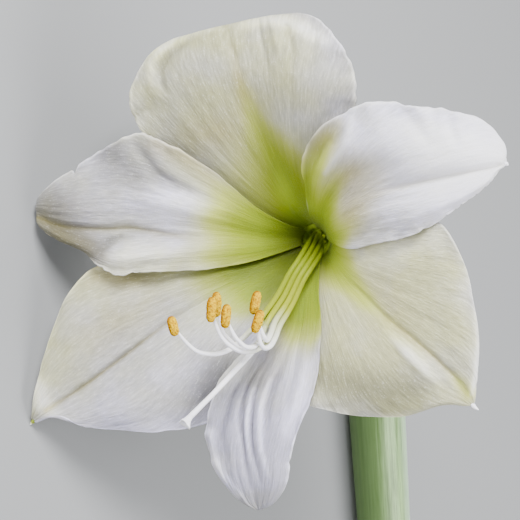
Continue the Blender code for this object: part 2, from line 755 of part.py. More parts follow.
def main():
    """Build the whole flower."""
    collection = start_scene()
    sepal_look = make_material("sepal_cream", COLOURS["sepal"], 0.5)
    petal_look = make_material("petal_white", COLOURS["petal"], 0.5)
    throat_look = make_material("throat_green", COLOURS["throat"], 0.5)
    stalk_look = make_material("stalk_green", COLOURS["stalk"], 0.45)
    filament_look = make_material("filament_white", COLOURS["filament"], 0.4)
    anther_look = make_material("anther_gold", COLOURS["anther"], 0.8)
    bract_look = make_material("bract_brown", COLOURS["bract"], 0.7)

    drawing = add_empty("drawing_frame", lying_matrix(), collection)
    bloom = add_empty("bloom_frame", bloom_matrix(), collection, drawing)
    stalk_top_y = (SHIFT_Y - STALK_TOP_BELOW_AXIS_POINT) * MM
    stalk_foot = add_empty("stalk_frame", Matrix.Translation((SHIFT_X * MM, stalk_top_y, 0.0)), collection)

    for name, tepal in TEPALS.items():
        rails = tepal_rails(tepal)
        look = sepal_look if name.endswith("sepal") else petal_look

        def blade_point(across, along, tepal=tepal, rails=rails):
            return tepal_point(tepal, rails, across, along)

        make_blade(name, blade_point, TEPAL_COLUMNS, TEPAL_ROWS, BLADE, look, collection, bloom)

    make_cup(throat_look, collection, bloom)
    make_ovary(stalk_look, collection, bloom)
    for number, stamen in enumerate(STAMENS, start=1):
        make_stamen(number, stamen, filament_look, anther_look, collection, drawing)
    make_style(filament_look, filament_look, collection, drawing)

    make_stalk(stalk_look, collection, stalk_foot)
    stalk_centre = (STALK_BODY[0][1] - REST_FLAT) * MM
    bloom_in_world = lying_matrix() @ bloom_matrix()
    behind = (bloom_in_world.to_3x3() @ Vector((0.0, 0.0, -1.0))).normalized()
    ovary_end = bloom_in_world @ Vector((0.0, 0.0, (OVARY_TOP - OVARY_LENGTH - GAP) * MM))
    stalk_top = Vector((SHIFT_X * MM, stalk_top_y + GAP * MM, stalk_centre))
    make_pedicel(stalk_look, collection, ovary_end, behind, stalk_top, Vector((0.0, -1.0, 0.0)))

    bract_root = add_empty("bract_frame", Matrix.Translation((0.0, 0.0, stalk_centre)), collection, stalk_foot)
    for name, bract in BRACTS.items():
        def rolled_point(across, along, bract=bract):
            return bract_point(bract, across, along)

        make_blade(
            name, rolled_point, BRACT_COLUMNS, BRACT_ROWS, BRACT_THICKNESS, bract_look, collection, bract_root
        )


main()
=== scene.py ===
# %% [markdown]
# # An amaryllis flower, cut and laid on a table
#
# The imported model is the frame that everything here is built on: it says where each tepal, stamen and stalk
# lies. This script keeps those places and sizes, and gives every piece a finer surface and a finish.

# %% Load the model
import math

import bpy
import numpy as np
from mathutils import Matrix, Vector, noise


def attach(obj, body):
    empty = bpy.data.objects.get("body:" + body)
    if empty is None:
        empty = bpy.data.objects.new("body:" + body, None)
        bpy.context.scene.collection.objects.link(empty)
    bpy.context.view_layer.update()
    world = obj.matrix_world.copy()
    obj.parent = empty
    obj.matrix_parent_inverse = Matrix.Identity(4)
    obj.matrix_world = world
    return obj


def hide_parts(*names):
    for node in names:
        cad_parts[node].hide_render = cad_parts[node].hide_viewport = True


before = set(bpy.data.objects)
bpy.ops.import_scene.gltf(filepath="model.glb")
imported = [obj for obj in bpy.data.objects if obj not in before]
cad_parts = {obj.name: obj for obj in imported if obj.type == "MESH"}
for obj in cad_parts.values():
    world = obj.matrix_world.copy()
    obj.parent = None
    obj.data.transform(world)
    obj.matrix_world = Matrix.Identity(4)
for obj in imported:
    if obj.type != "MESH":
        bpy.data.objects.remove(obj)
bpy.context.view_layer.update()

MM = 0.001

# %% [markdown]
# ## Two frames to draw in
#
# A bloom is easiest to draw as it is seen from in front. So the script has a drawing frame, in millimetres:
# x to the right, y up, z towards the eye, from a point at the mouth of the throat. One matrix lays that
# drawing down on the table. Another brings the bloom's own frame, whose z runs out of the throat, into it.
# Working in the frame where a shape is simple, and turning it once at the end, keeps every number readable.

# %% The drawing frame and the bloom's frame
EYE = Vector((-19.0, -7.0, 700.0))
THROAT = Vector((4.5, 1.5, 0.0))
TURN_LEFT = math.radians(19.0)
TURN_DOWN = math.radians(6.0)
ROLL = math.radians(39.0)
STALK_LEAN = math.radians(4.4)
STALK_AXIS = Vector((31.0, 0.0, -85.0))
STALK_HEIGHT = 13.2
SHIFT_X = 74.3
SHIFT_Y = 79.7


def lying_matrix():
    """Return the matrix from the drawing, in metres, to the flower lying on the table."""
    down = Vector((math.sin(STALK_LEAN), -math.cos(STALK_LEAN), -math.sin(STALK_LEAN) * math.tan(ROLL)))
    along = -down.normalized()
    up = Vector((math.sin(ROLL), 0.0, math.cos(ROLL)))
    side = along.cross(up).normalized()
    turned = Matrix((side, along, up)).to_4x4()
    to_table = Matrix.Translation(-(STALK_AXIS - STALK_HEIGHT * up) * MM)
    shift = Matrix.Translation(Vector((SHIFT_X, SHIFT_Y, 0.0)) * MM)
    return shift @ turned @ to_table


def bloom_matrix():
    """Return the matrix from the bloom's own frame to the drawing, in metres."""
    front = Vector((
        -math.sin(TURN_LEFT) * math.cos(TURN_DOWN),
        -math.sin(TURN_DOWN),
        math.cos(TURN_LEFT) * math.cos(TURN_DOWN),
    ))
    across = Vector((math.cos(TURN_LEFT), 0.0, math.sin(TURN_LEFT)))
    turned = Matrix((across, front.cross(across), front)).transposed().to_4x4()
    return Matrix.Translation(THROAT * MM) @ turned


DRAWING = lying_matrix()
BLOOM = DRAWING @ bloom_matrix()


def seen_point(x, y, depth):
    """Return the drawing's point that the eye sees at (x, y), at a depth towards it, in millimetres."""
    return EYE + (Vector((x, y, 0.0)) - EYE) * (1.0 - depth / EYE.z)


def placed(points, matrix):
    """Return an array of points, in millimetres of a frame, as metres in the world."""
    turn = np.array(matrix.to_3x3())
    return points * MM @ turn.T + np.array(matrix.translation)


print("throat at", [round(c, 4) for c in BLOOM.translation])

# %% [markdown]
# ## Camera
#
# The camera stands where the eye of the drawing is, 0.7 m from the throat, and looks straight down the
# drawing's z axis. The flower lies down, so the camera looks down on it. The lens follows from the width
# that the frame takes in at the throat's distance: 520 pixels, each of them 0.4255 mm of the bloom.

# %% Camera
PIXEL = 0.4255
FRAME_WIDTH = 520 * PIXEL
SENSOR = 36.0
NEAREST_SEEN = 0.01

camera_data = bpy.data.cameras.new("photo_camera")
camera_data.sensor_width = SENSOR
camera_data.lens = SENSOR * EYE.z / FRAME_WIDTH
camera_data.clip_start = NEAREST_SEEN
camera = bpy.data.objects.new("photo_camera", camera_data)
camera.matrix_world = DRAWING @ Matrix.Translation(EYE * MM)
bpy.context.scene.collection.objects.link(camera)
bpy.context.scene.camera = camera
print("lens", round(camera_data.lens, 1))

# %% [markdown]
# ## Floor and light
#
# A plain pale floor and large soft lamps, as in a studio with a big window: the main light comes from the
# upper right in front of the bloom, two weaker ones fill from the left and from the lower right, and the
# grey world lifts the shadows. Each lamp has a place in the drawing, a size in metres and a power in watts.

# %% Floor and lamps
FLOOR_SIZE = 6.0
FLOOR_BELOW = 0.4
FLOOR_GREY = (0.25, 0.255, 0.26, 1.0)
WORLD_GREY = (0.72, 0.75, 0.80, 1.0)
LAMPS = (
    ("window_light", (120.0, 540.0, 680.0), 0.35, 22.0),
    ("left_light", (-560.0, 40.0, 520.0), 0.5, 7.0),
    ("right_light", (420.0, -240.0, 260.0), 0.35, 5.5),
)


def set_inputs(node, values):
    """Set inputs of a node from a dictionary of their names and values."""
    for name, value in values.items():
        node.inputs[name].default_value = value


bpy.ops.object.select_all(action="DESELECT")
bpy.ops.mesh.primitive_plane_add(size=FLOOR_SIZE, location=(0.0, 0.0, -FLOOR_BELOW * MM))
floor = bpy.context.active_object
floor.name = "floor"
floor_look = bpy.data.materials.new("floor_matte")
floor_look.use_nodes = True
set_inputs(floor_look.node_tree.nodes["Principled BSDF"], {"Base Color": FLOOR_GREY, "Roughness": 0.9})
floor.data.materials.append(floor_look)


def add_lamp(name, place, size, power):
    """Hang a square soft lamp at a place of the drawing, in millimetres, facing the throat."""
    lamp_data = bpy.data.lights.new(name, "AREA")
    lamp_data.shape = "SQUARE"
    lamp_data.size = size
    lamp_data.energy = power
    lamp = bpy.data.objects.new(name, lamp_data)
    spot = DRAWING @ (Vector(place) * MM)
    aim = BLOOM.translation - spot
    lamp.location = spot
    lamp.rotation_mode = "QUATERNION"
    lamp.rotation_quaternion = aim.to_track_quat("-Z", "Y")
    bpy.context.scene.collection.objects.link(lamp)


for lamp in LAMPS:
    add_lamp(*lamp)

studio = bpy.data.worlds.new("studio_grey")
studio.use_nodes = True
set_inputs(studio.node_tree.nodes["Background"], {"Color": WORLD_GREY, "Strength": 0.32})
bpy.context.scene.world = studio
print("lamps:", len(LAMPS))

# %% [markdown]
# ## The trumpet
#
# All six tepals together follow one trumpet round the bloom's axis. Its profile gives a height for each
# distance from the axis, and a smooth curve without overshoot runs through the profile's points. The eye's
# view of a point is turned into a place on the trumpet by walking along the line of sight until it is met.

# %% The trumpet's profile and the line of sight
TRUMPET = np.array((
    (0.0, -20.0), (7.2, 0.0), (10.5, 8.0), (16.0, 18.0), (25.0, 29.0), (38.0, 40.5), (54.0, 50.0),
    (72.0, 56.5), (90.0, 58.0), (106.0, 55.0), (125.0, 47.0), (148.0, 34.0),
))


def trumpet_slopes():
    """Return the profile's slope at each point, without overshoot between points."""
    widths = np.diff(TRUMPET[:, 0])
    rises = np.diff(TRUMPET[:, 1]) / widths
    slopes = [rises[0]]
    for width_a, rise_a, width_b, rise_b in zip(widths[:-1], rises[:-1], widths[1:], rises[1:]):
        if rise_a * rise_b <= 0.0:
            slopes.append(0.0)
            continue
        weight_a = 2.0 * width_b + width_a
        weight_b = width_b + 2.0 * width_a
        slopes.append((weight_a + weight_b) / (weight_a / rise_a + weight_b / rise_b))
    slopes.append(rises[-1])
    return np.array(slopes)


TRUMPET_SLOPES = trumpet_slopes()


def trumpet(reach):
    """Return the trumpet's height at each distance from the bloom's axis."""
    reach = np.asarray(reach, dtype=float)
    index = np.clip(np.searchsorted(TRUMPET[:, 0], reach, side="right") - 1, 0, len(TRUMPET) - 2)
    width = TRUMPET[index + 1, 0] - TRUMPET[index, 0]
    t = (reach - TRUMPET[index, 0]) / width
    near = (2 * t ** 3 - 3 * t ** 2 + 1) * TRUMPET[index, 1]
    near = near + (t ** 3 - 2 * t ** 2 + t) * width * TRUMPET_SLOPES[index]
    far = (3 * t ** 2 - 2 * t ** 3) * TRUMPET[index + 1, 1]
    far = far + (t ** 3 - t ** 2) * width * TRUMPET_SLOPES[index + 1]
    return near + far


TO_BLOOM = Matrix.Diagonal((1 / MM, 1 / MM, 1 / MM, 1.0)) @ bloom_matrix().inverted()
NEAREST = 170.0
STEP_BACK = 3.0
HALVINGS = 24


def seen_on_trumpet(x, y, lift):
    """Return reach, bearing and lift of the raised trumpet's point that the eye sees at (x, y)."""
    def height_over(depth):
        point = TO_BLOOM @ (seen_point(x, y, depth) * MM)
        return point.z - float(trumpet(math.hypot(point.x, point.y))) - lift

    depth = NEAREST
    while height_over(depth) > 0.0:
        depth -= STEP_BACK
    low, high = depth, depth + STEP_BACK
    for _ in range(HALVINGS):
        middle = (low + high) / 2.0
        if height_over(middle) > 0.0:
            high = middle
        else:
            low = middle
    point = TO_BLOOM @ (seen_point(x, y, low) * MM)
    return (math.hypot(point.x, point.y), math.atan2(point.y, point.x), lift)


print("trumpet mouth at reach 72 is", round(float(trumpet(72.0)), 1), "mm high")

# %% [markdown]
# ## The tepals' outlines and characters
#
# Each tepal is drawn by three lines from its claw to its tip: left margin, middle, right margin. A row gives
# one point of each line, as x, y and the height over the trumpet. Beside the rows stands what gives the
# tepal its own character:
#
# - claw: the radius, bearing, half width as an angle, and height of its narrow foot
# - a darkening of the whole blade, painted shade for how much light it gets, and warmth: how cream it is at
#   left margin, middle and right margin
# - bulge: how far its two halves stand up, and ruffle: the height and number of its margin's waves
# - crinkle: how uneven its margin is, and nicks in it: side, place along, depth and half width
# - radial: how much its veins fan out, and green_reach: how far the green runs at the three lines
# - folds: lines on which the blade is raised or sunk, with heights from start to end and a half width
# - strokes: the same for colour, with strengths and half widths: green; shade, a beige that is partly the
#   tissue's own colour and partly painted shade in creases and hollows; lightening strokes, which are painted
#   highlights on rims, raised folds and lit areas; and darkening strokes, which are painted shade in creases,
#   hollows and under the neighbouring tepals
#
#
# A crease shows both as a fold and as a stroke. Where both follow the same points, the line has a name.
# Both are drawn as the eye sees them, so they can be laid where a real flower has its creases.

# %% Tepal rows
TOP_ROLL = ((-58, 62), (-61, 68), (-61, 74), (-57.5, 79.5), (-52.5, 83.5), (-46, 87))
LEFT_HOLLOW = ((-72, 43), (-69, 37), (-61.5, 28), (-50, 21.5), (-36, 15))
LEFT_CREASE = ((-113.5, 11), (-103, 7), (-86, 6), (-74.5, 6.5), (-57.5, 3.5), (-36, 1))
BOTTOM_PLEATS = (
    ((-17, -46), (-29.5, -63.5), (-33, -73.5), (-35, -83), (-33, -96)),
    ((-13, -44), (-24.5, -61.5), (-27, -76), (-25.5, -91.5), (-23, -106)),
    ((-10, -43), (-19.5, -59), (-22.5, -71), (-22.5, -86.5), (-18, -104)),
    ((-5, -40), (-11.5, -57), (-15.5, -70), (-16, -83)),
)
# In each tepal's strokes, the darkening ones are painted shade and the lightening ones painted highlights.
TEPALS = {
    "top_sepal": {
        "claw": (7.2, 101.0, 40.0, 0.0),
        "painted_shading": 0.48,
        "bulge": 2.5,
        "ruffle": (0.9, 7.0),
        "crinkle": 1.5,
        "nicks": ((1.0, 0.52, 0.015, 0.015),),
        "radial": 0.95,
        "green_reach": (44.0, 62.0, 46.0),
        "warmth": (0.65, 0.85, 0.4),
        "rows": (
            ((-18.5, 12.5, -1), (-9, 22.5, -1), (7, 24, -1)),
            ((-37, 22.5, -1), (-15, 34.5, -1), (12.5, 37.5, -1)),
            ((-56.5, 36, -1), (-19, 48, 0), (19, 50.5, -1)),
            ((-70.5, 49, -1), (-23, 61.5, 1), (22, 63.5, 0)),
            ((-74, 62, -1), (-26, 75.5, 1), (19.5, 77.5, 0)),
            ((-68.5, 77, -3), (-28, 86, -2), (12.5, 88.5, -1)),
            ((-53.5, 87.5, -8), (-29, 93.5, -8), (1, 97.5, -5)),
            ((-39, 88, -20), (-30, 91, -19), (-20, 93, -18)),
            ((-35, 84, -27), (-30, 86, -27), (-25, 87, -26)),
            ((-31, 79, -31), (-30, 79, -31.5), (-29, 79.5, -31)),
        ),
        "folds": (
            (TOP_ROLL, (0, -0.9, -1.0, -1.0, -0.8, 0), 2.0),
            (((-61, 60), (-65, 67), (-65.5, 74), (-62, 80.5), (-56, 86), (-48, 90)),
             (0, 0.8, 0.9, 0.9, 0.6, 0), 2.2),
            (((0, 10), (-10, 30), (-18.5, 45.5), (-24.5, 60.5), (-28, 74)),
             (-0.5, -1.4, -1.4, -0.8, 0), 6.0),
            (((-8, 92), (-6, 84), (-5, 72)), (-0.9, -0.7, 0), 1.8),
            (((-20, 95), (-18, 84), (-15, 70)), (-0.9, -0.7, 0), 1.4),
            (((-33, 90), (-30, 80), (-26, 66)), (-0.8, -0.6, 0), 1.5),
            (((4, 90), (3, 80), (1, 66)), (-0.8, -0.5, 0), 2.0),
            (((-14, 96), (-12, 86), (-10, 76)), (0.8, 0.5, 0), 1.4),
        ),
        "strokes": (
            ("green", ((1.5, 6.5), (-10, 30), (-18.5, 45.5), (-24.5, 60.5), (-27, 71.5)),
             (1, 0.95, 0.7, 0.35, 0), (9, 9, 7, 4, 2.5)),
            ("shade", ((-22, 50), (-27, 66), (-31, 84)), (0.7, 0.6, 0.2), (4, 3, 2)),
            ("painted_highlight", ((-26, 93), (-14, 95), (-2, 92), (9, 86)), (0.5, 0.8, 0.8, 0.5), (2.5, 2.5, 3, 3)),
            ("shade", ((-46, 46), (-36, 46), (-26, 42)), (0.3, 0.5, 0.2), (8, 9, 6)),
            ("painted_shade", ((-62, 50), (-46, 36), (-30, 24), (-16, 14)), (0.4, 0.35, 0.25, 0.1), (7, 6, 5, 4)),
            ("painted_shade", ((-14, 26), (-22, 38), (-30, 56)), (0.2, 0.3, 0.1), (4, 6, 6)),
            ("painted_highlight", ((0, 8), (-5, 13), (-9, 22), (-13, 33)), (0.5, 0.6, 0.4, 0), (4,)),
            ("painted_shade", ((-46, 60), (-44, 72), (-40, 82)), (0.25, 0.35, 0.2), (12, 12, 10)),
            ("painted_highlight", ((-66, 70), (-65, 77), (-60, 83), (-50, 89), (-36, 92)),
             (0.2, 0.6, 0.9, 0.7, 0.3), (1.8, 1.8, 1.8, 1.5, 1.5)),
            ("painted_shade", TOP_ROLL, (0.1, 0.4, 0.5, 0.5, 0.4, 0.1), (1.6, 1.6, 1.6, 1.6, 1.6, 1.4)),
        ),
    },
    "left_petal": {
        "claw": (5.6, 168.0, 33.0, 4.4),
        "painted_shading": 0.32,
        "bulge": 3.0,
        "ruffle": (0.6, 8.0),
        "crinkle": 1.6,
        "nicks": ((-1.0, 0.712, 0.09, 0.008), (1.0, 0.46, 0.08, 0.012), (1.0, 0.585, 0.06, 0.01)),
        "radial": 0.45,
        "green_reach": (46.0, 46.0, 46.0),
        "warmth": (0.35, 0.35, 0.55),
        "rows": (
            ((-18.5, 14, 4), (-18.5, 3, 4), (-18.5, -6.5, 4)),
            ((-34, 27, 4), (-32, 5, 4), (-34.5, -10, 4)),
            ((-49, 37.5, 5), (-46, 6.5, 3), (-51.5, -11.5, 6)),
            ((-61, 43.5, 5), (-59.5, 7, 2), (-67, -12, 8)),
            ((-71.5, 46.5, 2), (-72.5, 5.5, 1), (-79, -13.5, 7)),
            ((-83.5, 41.5, -1), (-84, 5, 0), (-87.5, -9.5, 4)),
            ((-96, 33.5, -2), (-95, 6, -0.5), (-95.5, -2.5, 1)),
            ((-107.5, 25.5, -2.5), (-105.5, 8.5, -1.5), (-105, 1.5, 0)),
            ((-113, 20, -2.5), (-113, 12, -2.5), (-112, 6.5, -1)),
            ((-114, 16, -3), (-113.5, 12.5, -3), (-113.5, 9.5, -2.5)),
        ),
        "folds": (
            (LEFT_HOLLOW, (-0.6, -1.6, -1.8, -1.2, 0), 3.2),
            (((-32, 9), (-48, 15), (-65, 18), (-82, 17)), (0, 1.8, 1.6, 0), 6.0),
            (LEFT_CREASE, (0, -1.0, -1.5, -1.7, -1.3, 0), 1.9),
            (((-86, -7), (-76, -5), (-62, -4), (-46, -3.5)), (0, 2.2, 2.4, 0), 4.5),
            (((-90, -7), (-85, -1.5), (-79, 2.5), (-72, 4)), (0, -1.3, -1.2, 0), 2.0),
        ),
        "strokes": (
            ("green", ((-8, 4), (-30, 8), (-50, 12)), (1, 0.75, 0), (9, 9, 7)),
            ("green", ((-8, 8), (-25, 17), (-45, 27), (-58, 35)), (0.9, 0.45, 0.2, 0.05), (5, 6, 7, 6)),
            ("green", ((-14, -2), (-34, -5), (-52, -7)), (0.9, 0.5, 0.1), (5,)),
            ("shade", LEFT_CREASE, (0.7, 0.6, 0.5, 0.45, 0.4, 0), (1.3, 1.3, 1.3, 1.4, 1.5, 1.5)),
            ("shade", ((-106, 2), (-95, -2), (-86, -5)), (0.35, 0.4, 0.3), (5, 5, 4)),
            ("shade", ((-108, 16), (-96, 14), (-84, 12)), (0.3, 0.2, 0), (5, 5, 4)),
            ("shade", ((-63, 43), (-48, 35), (-36, 24), (-24, 14)), (0.5, 0.6, 0.5, 0.4), (5, 5.5, 5, 4)),
            ("painted_shade", ((-108, 5), (-98, 1), (-90, -2.5)), (1,), (8, 9, 8)),
            ("shade", ((-111, 9), (-102, 3.5), (-92, -1)), (0.5, 0.5, 0.4), (5, 6, 5)),
            ("painted_shade", ((-89, -5), (-83, 1.5), (-68, 4), (-50, 3)),
             (0.6, 0.65, 0.4, 0.1), (2.6, 2.8, 2.2, 2)),
            ("painted_shade", ((-113, 16), (-104, 17), (-94, 20)), (0.9, 0.85, 0.4), (10, 10, 9)),
            ("painted_shade", ((-82, 38), (-71, 30), (-56, 24), (-42, 18)), (0.85, 0.9, 0.5, 0.1), (11, 8, 5, 3)),
            ("painted_shade", ((-113.5, 11), (-103, 7), (-86, 6), (-74.5, 6.5), (-57.5, 3.5), (-40, 1)),
             (0.5, 0.45, 0.4, 0.4, 0.3, 0), (1.0, 1.0, 1.1, 1.2, 1.2, 1.2)),
            ("painted_shade", LEFT_HOLLOW, (0.3, 0.45, 0.5, 0.35, 0), (1.5, 2, 2.2, 2.2, 2)),
            ("painted_highlight", ((-38, 14), (-54, 17), (-70, 18)), (0.3, 0.8, 0.1), (6, 6, 7)),
            ("painted_shade", ((-90, -7), (-85, -1.5), (-79, 2.5)), (0.4, 0.5, 0.3), (1.8, 1.8, 1.6)),
            ("painted_highlight", ((-82, -7), (-70, -5), (-54, -4)), (0.4, 0.5, 0.2), (4, 5, 4)),
        ),
    },
    "lower_left_sepal": {
        "claw": (7.2, 217.0, 38.0, 0.0),
        "painted_shading": 0.4,
        "bulge": 1.5,
        "ruffle": (0.6, 6.0),
        "crinkle": 0.5,
        "nicks": ((1.0, 0.62, 0.03, 0.015),),
        "radial": 0.6,
        "green_reach": (46.0, 46.0, 36.0),
        "warmth": (0.8, 0.5, 0.0),
        "rows": (
            ((-18.5, -4, -1), (-13.5, -12, -1), (-5.5, -23, -1)),
            ((-34.5, -6, -1), (-27, -17.5, -1), (-12, -37, -1)),
            ((-53, -7, -1), (-41.5, -25, -1), (-19, -50, -1)),
            ((-73, -8, -1), (-56.5, -34.5, -1), (-26.5, -62.5, -1)),
            ((-89, -10, -1), (-71.5, -44, 0), (-36, -73.5, -1.5)),
            ((-99.5, -20, 0), (-84.5, -53, 2), (-53, -79.5, 0.5)),
            ((-107, -36, 3), (-95.5, -61, 5), (-75, -79.5, 3)),
            ((-112, -52, 8), (-105, -68, 9), (-92.5, -78, 7.5)),
            ((-115.5, -66, 14.5), (-111.5, -72.5, 13.5), (-105, -73.3, 12)),
            ((-116, -74.5, 15.5), (-115.2, -75.4, 15), (-114.4, -76, 15.5)),
        ),
        "folds": (
            (((-111, -71.5), (-97, -62.5), (-81.5, -51), (-64.5, -38), (-50, -28.5), (-36, -21)),
             (0, -1.0, -1.2, -1.1, -0.7, 0), 1.4),
            (((-108, -70), (-97, -62.5), (-81.5, -51), (-64.5, -38), (-50, -28.5), (-36, -21)),
             (0, -0.8, -1.4, -1.2, -0.6, 0), 7.0),
            (((-24, -40), (-33, -54), (-40, -66), (-46, -76)), (0, -1.6, -1.6, -0.4), 5.0),
            (((-80, -70), (-62, -60), (-50, -48)), (0, 1.2, 0), 9.0),
        ),
        "strokes": (
            ("green", ((-10, -8), (-28, -12), (-54, -16)), (1, 1, 0.1), (10, 10, 9)),
            ("green", ((-8, -16), (-22, -22), (-42, -30)), (1, 0.8, 0.15), (8, 9, 8)),
            ("painted_shade", ((-24, -38), (-34, -54), (-41, -66), (-47, -76)), (0.3, 1, 1, 0.6), (7, 12, 12, 8)),
            ("shade", ((-90, -40), (-79, -33), (-62, -26)), (0.3, 0.4, 0.2), (8, 8, 7)),
            ("shade", ((-110, -71), (-97, -62.5), (-81.5, -51), (-64.5, -38), (-50, -28.5)),
             (0.5, 0.55, 0.6, 0.45, 0), (1.4, 1.1, 1.0, 1.0, 1.2)),
            ("painted_shade", ((-4, -8), (-12, -18), (-18, -28), (-24, -38)), (0.9, 0.9, 0.7, 0.3), (7, 8, 7, 5)),
            ("painted_shade", ((-6, -4), (-26, -9), (-48, -12)), (0.9, 0.8, 0.4), (9, 9, 6)),
            ("green", ((-4, -8), (-14, -14), (-24, -18)), (1, 0.8, 0.1), (5, 6, 7)),
            ("painted_shade", ((-111, -71.5), (-97, -62.5), (-81.5, -51), (-64.5, -38), (-50, -28.5)),
             (0.3, 0.5, 0.55, 0.4, 0), (1.0, 1.1, 1.2, 1.3, 1.5)),
            ("painted_highlight", ((-113, -60), (-111, -68), (-108, -72)), (0.5, 0.6, 0.4), (4, 4, 3)),
            ("painted_shade", ((-88, -62), (-70, -52), (-54, -40)), (0.15, 0.2, 0.1), (7,)),
            ("shade", ((-88, -13), (-76, -15), (-62, -15)), (0.6, 0.6, 0.2), (5, 5, 4)),
            ("painted_shade", ((-84, -11), (-70, -13), (-54, -11)), (0.5, 0.5, 0.1), (3,)),
        ),
    },
    "bottom_petal": {
        "claw": (5.6, 274.0, 30.0, 4.4),
        "painted_shading": 0.44,
        "bulge": 1.5,
        "ruffle": (0.4, 9.0),
        "crinkle": 1.9,
        "nicks": ((1.0, 0.72, 0.05, 0.012), (-1.0, 0.82, 0.05, 0.012)),
        "radial": 0.1,
        "green_reach": (30.0, 38.0, 44.0),
        "warmth": (0.25, 0.05, 0.1),
        "rows": (
            ((-6, -20, 3.5), (-1.5, -22, 3.5), (6, -20, 3.5)),
            ((-12, -30, 3), (-4, -34, 3), (7, -32, 3)),
            ((-22, -42, 2.5), (-8.5, -45.5, 2.5), (6.5, -43.5, 2.5)),
            ((-33.5, -54, 2.5), (-12.5, -58, 2.5), (5.5, -56, 2.5)),
            ((-39.5, -67, 2.5), (-16.5, -70, 2.5), (2, -68, 1.5)),
            ((-41.8, -79.5, 1.5), (-19.5, -82, 1.5), (-3, -80, 0)),
            ((-39.5, -91.5, -2), (-21.5, -93, 0), (-5.8, -91, -2)),
            ((-34.8, -101, -3), (-21.5, -102.5, -2), (-7.3, -101, -3)),
            ((-28, -109, -4), (-20.5, -110, -4), (-12, -109.3, -4)),
            ((-21.5, -112.8, -5), (-19.5, -113, -5), (-17.5, -112.6, -5)),
        ),
        "folds": (
            (BOTTOM_PLEATS[0], (0, -1.2, -1.4, -1.1, 0), 1.5),
            (BOTTOM_PLEATS[1], (0, -1.4, -1.5, -1.1, 0), 1.3),
            (BOTTOM_PLEATS[2], (0, -1.1, -1.4, -1.2, 0), 1.1),
            (BOTTOM_PLEATS[3], (0, -1.5, -1.5, 0), 1.5),
            (((-1, -36), (-4, -52), (-7, -68), (-9, -82)), (0, -0.6, -0.8, 0), 1.6),
            (((-14, -50), (-21.5, -62), (-24.5, -76), (-24, -90)), (0, 0.6, 0.6, 0), 0.9),
            (((-9, -50), (-14.5, -58), (-18, -68), (-19, -84), (-16, -100)), (0, 0.7, 0.9, 0.7, 0), 1.2),
            (((4, -62), (0, -74), (-4, -86), (-7, -100)), (0, 0.8, 1.0, 0), 1.3),
            (((-39, -70), (-39.5, -84), (-35, -98), (-27, -108)), (0, 0.7, 0.8, 0), 1.5),
        ),
        "strokes": (
            ("green", ((0, -18), (-3, -32), (-8, -48)), (1, 0.85, 0.15), (9, 8, 7)),
            ("green", ((3, -12), (1, -20), (-2, -28), (-5, -34)), (1, 1, 0.9, 0.3), (5, 5.5, 4.5, 4)),
            ("painted_shade", ((-19, -60), (-21, -74), (-21, -88)), (0.15, 0.25, 0.1), (3.5, 3.5, 3)),
            ("green", ((6, -12), (5.5, -28), (3, -42), (0, -52)), (1, 0.85, 0.35, 0), (5, 4, 4, 3)),
            ("shade", ((-10, -40), (-15, -52), (-20, -62)), (0.3, 0.25, 0), (7, 7, 6)),
            ("painted_highlight", ((-1, -34), (-4, -43), (-8, -54)), (0.0, 0.3, 0.2), (4, 5, 5)),
            ("painted_shade", BOTTOM_PLEATS[0], (0, 0.3, 0.35, 0.3, 0), (1.2,)),
            ("painted_shade", BOTTOM_PLEATS[1], (0.1, 0.35, 0.4, 0.3, 0), (1,)),
            ("painted_shade", BOTTOM_PLEATS[2], (0.1, 0.25, 0.35, 0.3, 0), (0.8, 0.8, 0.9, 0.9, 0.9)),
            ("painted_shade", BOTTOM_PLEATS[3], (0.1, 0.4, 0.35, 0), (1.2, 1.2, 1.2, 1)),
            ("painted_highlight", ((0, -76), (-5, -88), (-7, -101)), (0.4, 0.9, 0.6), (1.2,)),
            ("painted_highlight", ((-21.5, -62), (-24.5, -76), (-24, -92)), (0.4, 0.7, 0.2), (0.9,)),
            ("painted_highlight", ((-14.5, -58), (-18, -68), (-19, -84), (-16, -98)), (0.3, 0.6, 0.7, 0.2), (1.3,)),
            ("painted_highlight", ((2, -52), (-2, -66), (-7, -80)), (0.3, 0.6, 0.4), (3,)),
            ("painted_highlight", ((-40, -80), (-37, -94), (-28, -107)), (0.4, 0.8, 0.6), (1.4,)),
        ),
    },
    "lower_right_sepal": {
        "claw": (7.2, 324.0, 38.0, 0.0),
        "painted_shading": 0.3,
        "bulge": 1.5,
        "ruffle": (0.5, 7.0),
        "crinkle": 0.5,
        "nicks": ((-1.0, 0.84, 0.04, 0.012),),
        "radial": 0.85,
        "green_reach": (20.0, 32.0, 28.0),
        "warmth": (0.75, 1.0, 0.5),
        "rows": (
            ((4, -24, -1), (14, -15, -1), (23, 1, -1)),
            ((2.5, -33, -1), (22.5, -21.5, -1), (32, 5, -1)),
            ((0, -45, -1), (31.5, -29, -1), (41.5, 8, -1)),
            ((-2.5, -57, -1), (39.5, -36, -1), (50.5, 10, -1)),
            ((-1.5, -66.5, -1), (47, -43, -1), (58.3, 7.8, -1)),
            ((10.5, -71.2, -1), (53, -49, -1), (67.3, -7, -1)),
            ((25.5, -73.3, -2), (58.5, -54.5, -2), (71.7, -24, -2)),
            ((41.5, -73.5, -3), (63.5, -60, -3), (74.2, -43, -3)),
            ((57, -68.8, -4), (68, -64.5, -4), (73.2, -58, -4)),
            ((70.3, -68.7, -5), (71.5, -68.7, -5), (72.2, -67, -5)),
        ),
        "folds": (
            (((31, -34), (41.5, -44.5), (50, -53), (60, -62.5)), (0, 1.5, 1.4, 0), 2.6),
            (((16, -14), (34, -31.5), (49.5, -44), (61.5, -55), (69, -63)), (0, -1.2, -1.2, -1.0, 0), 1.7),
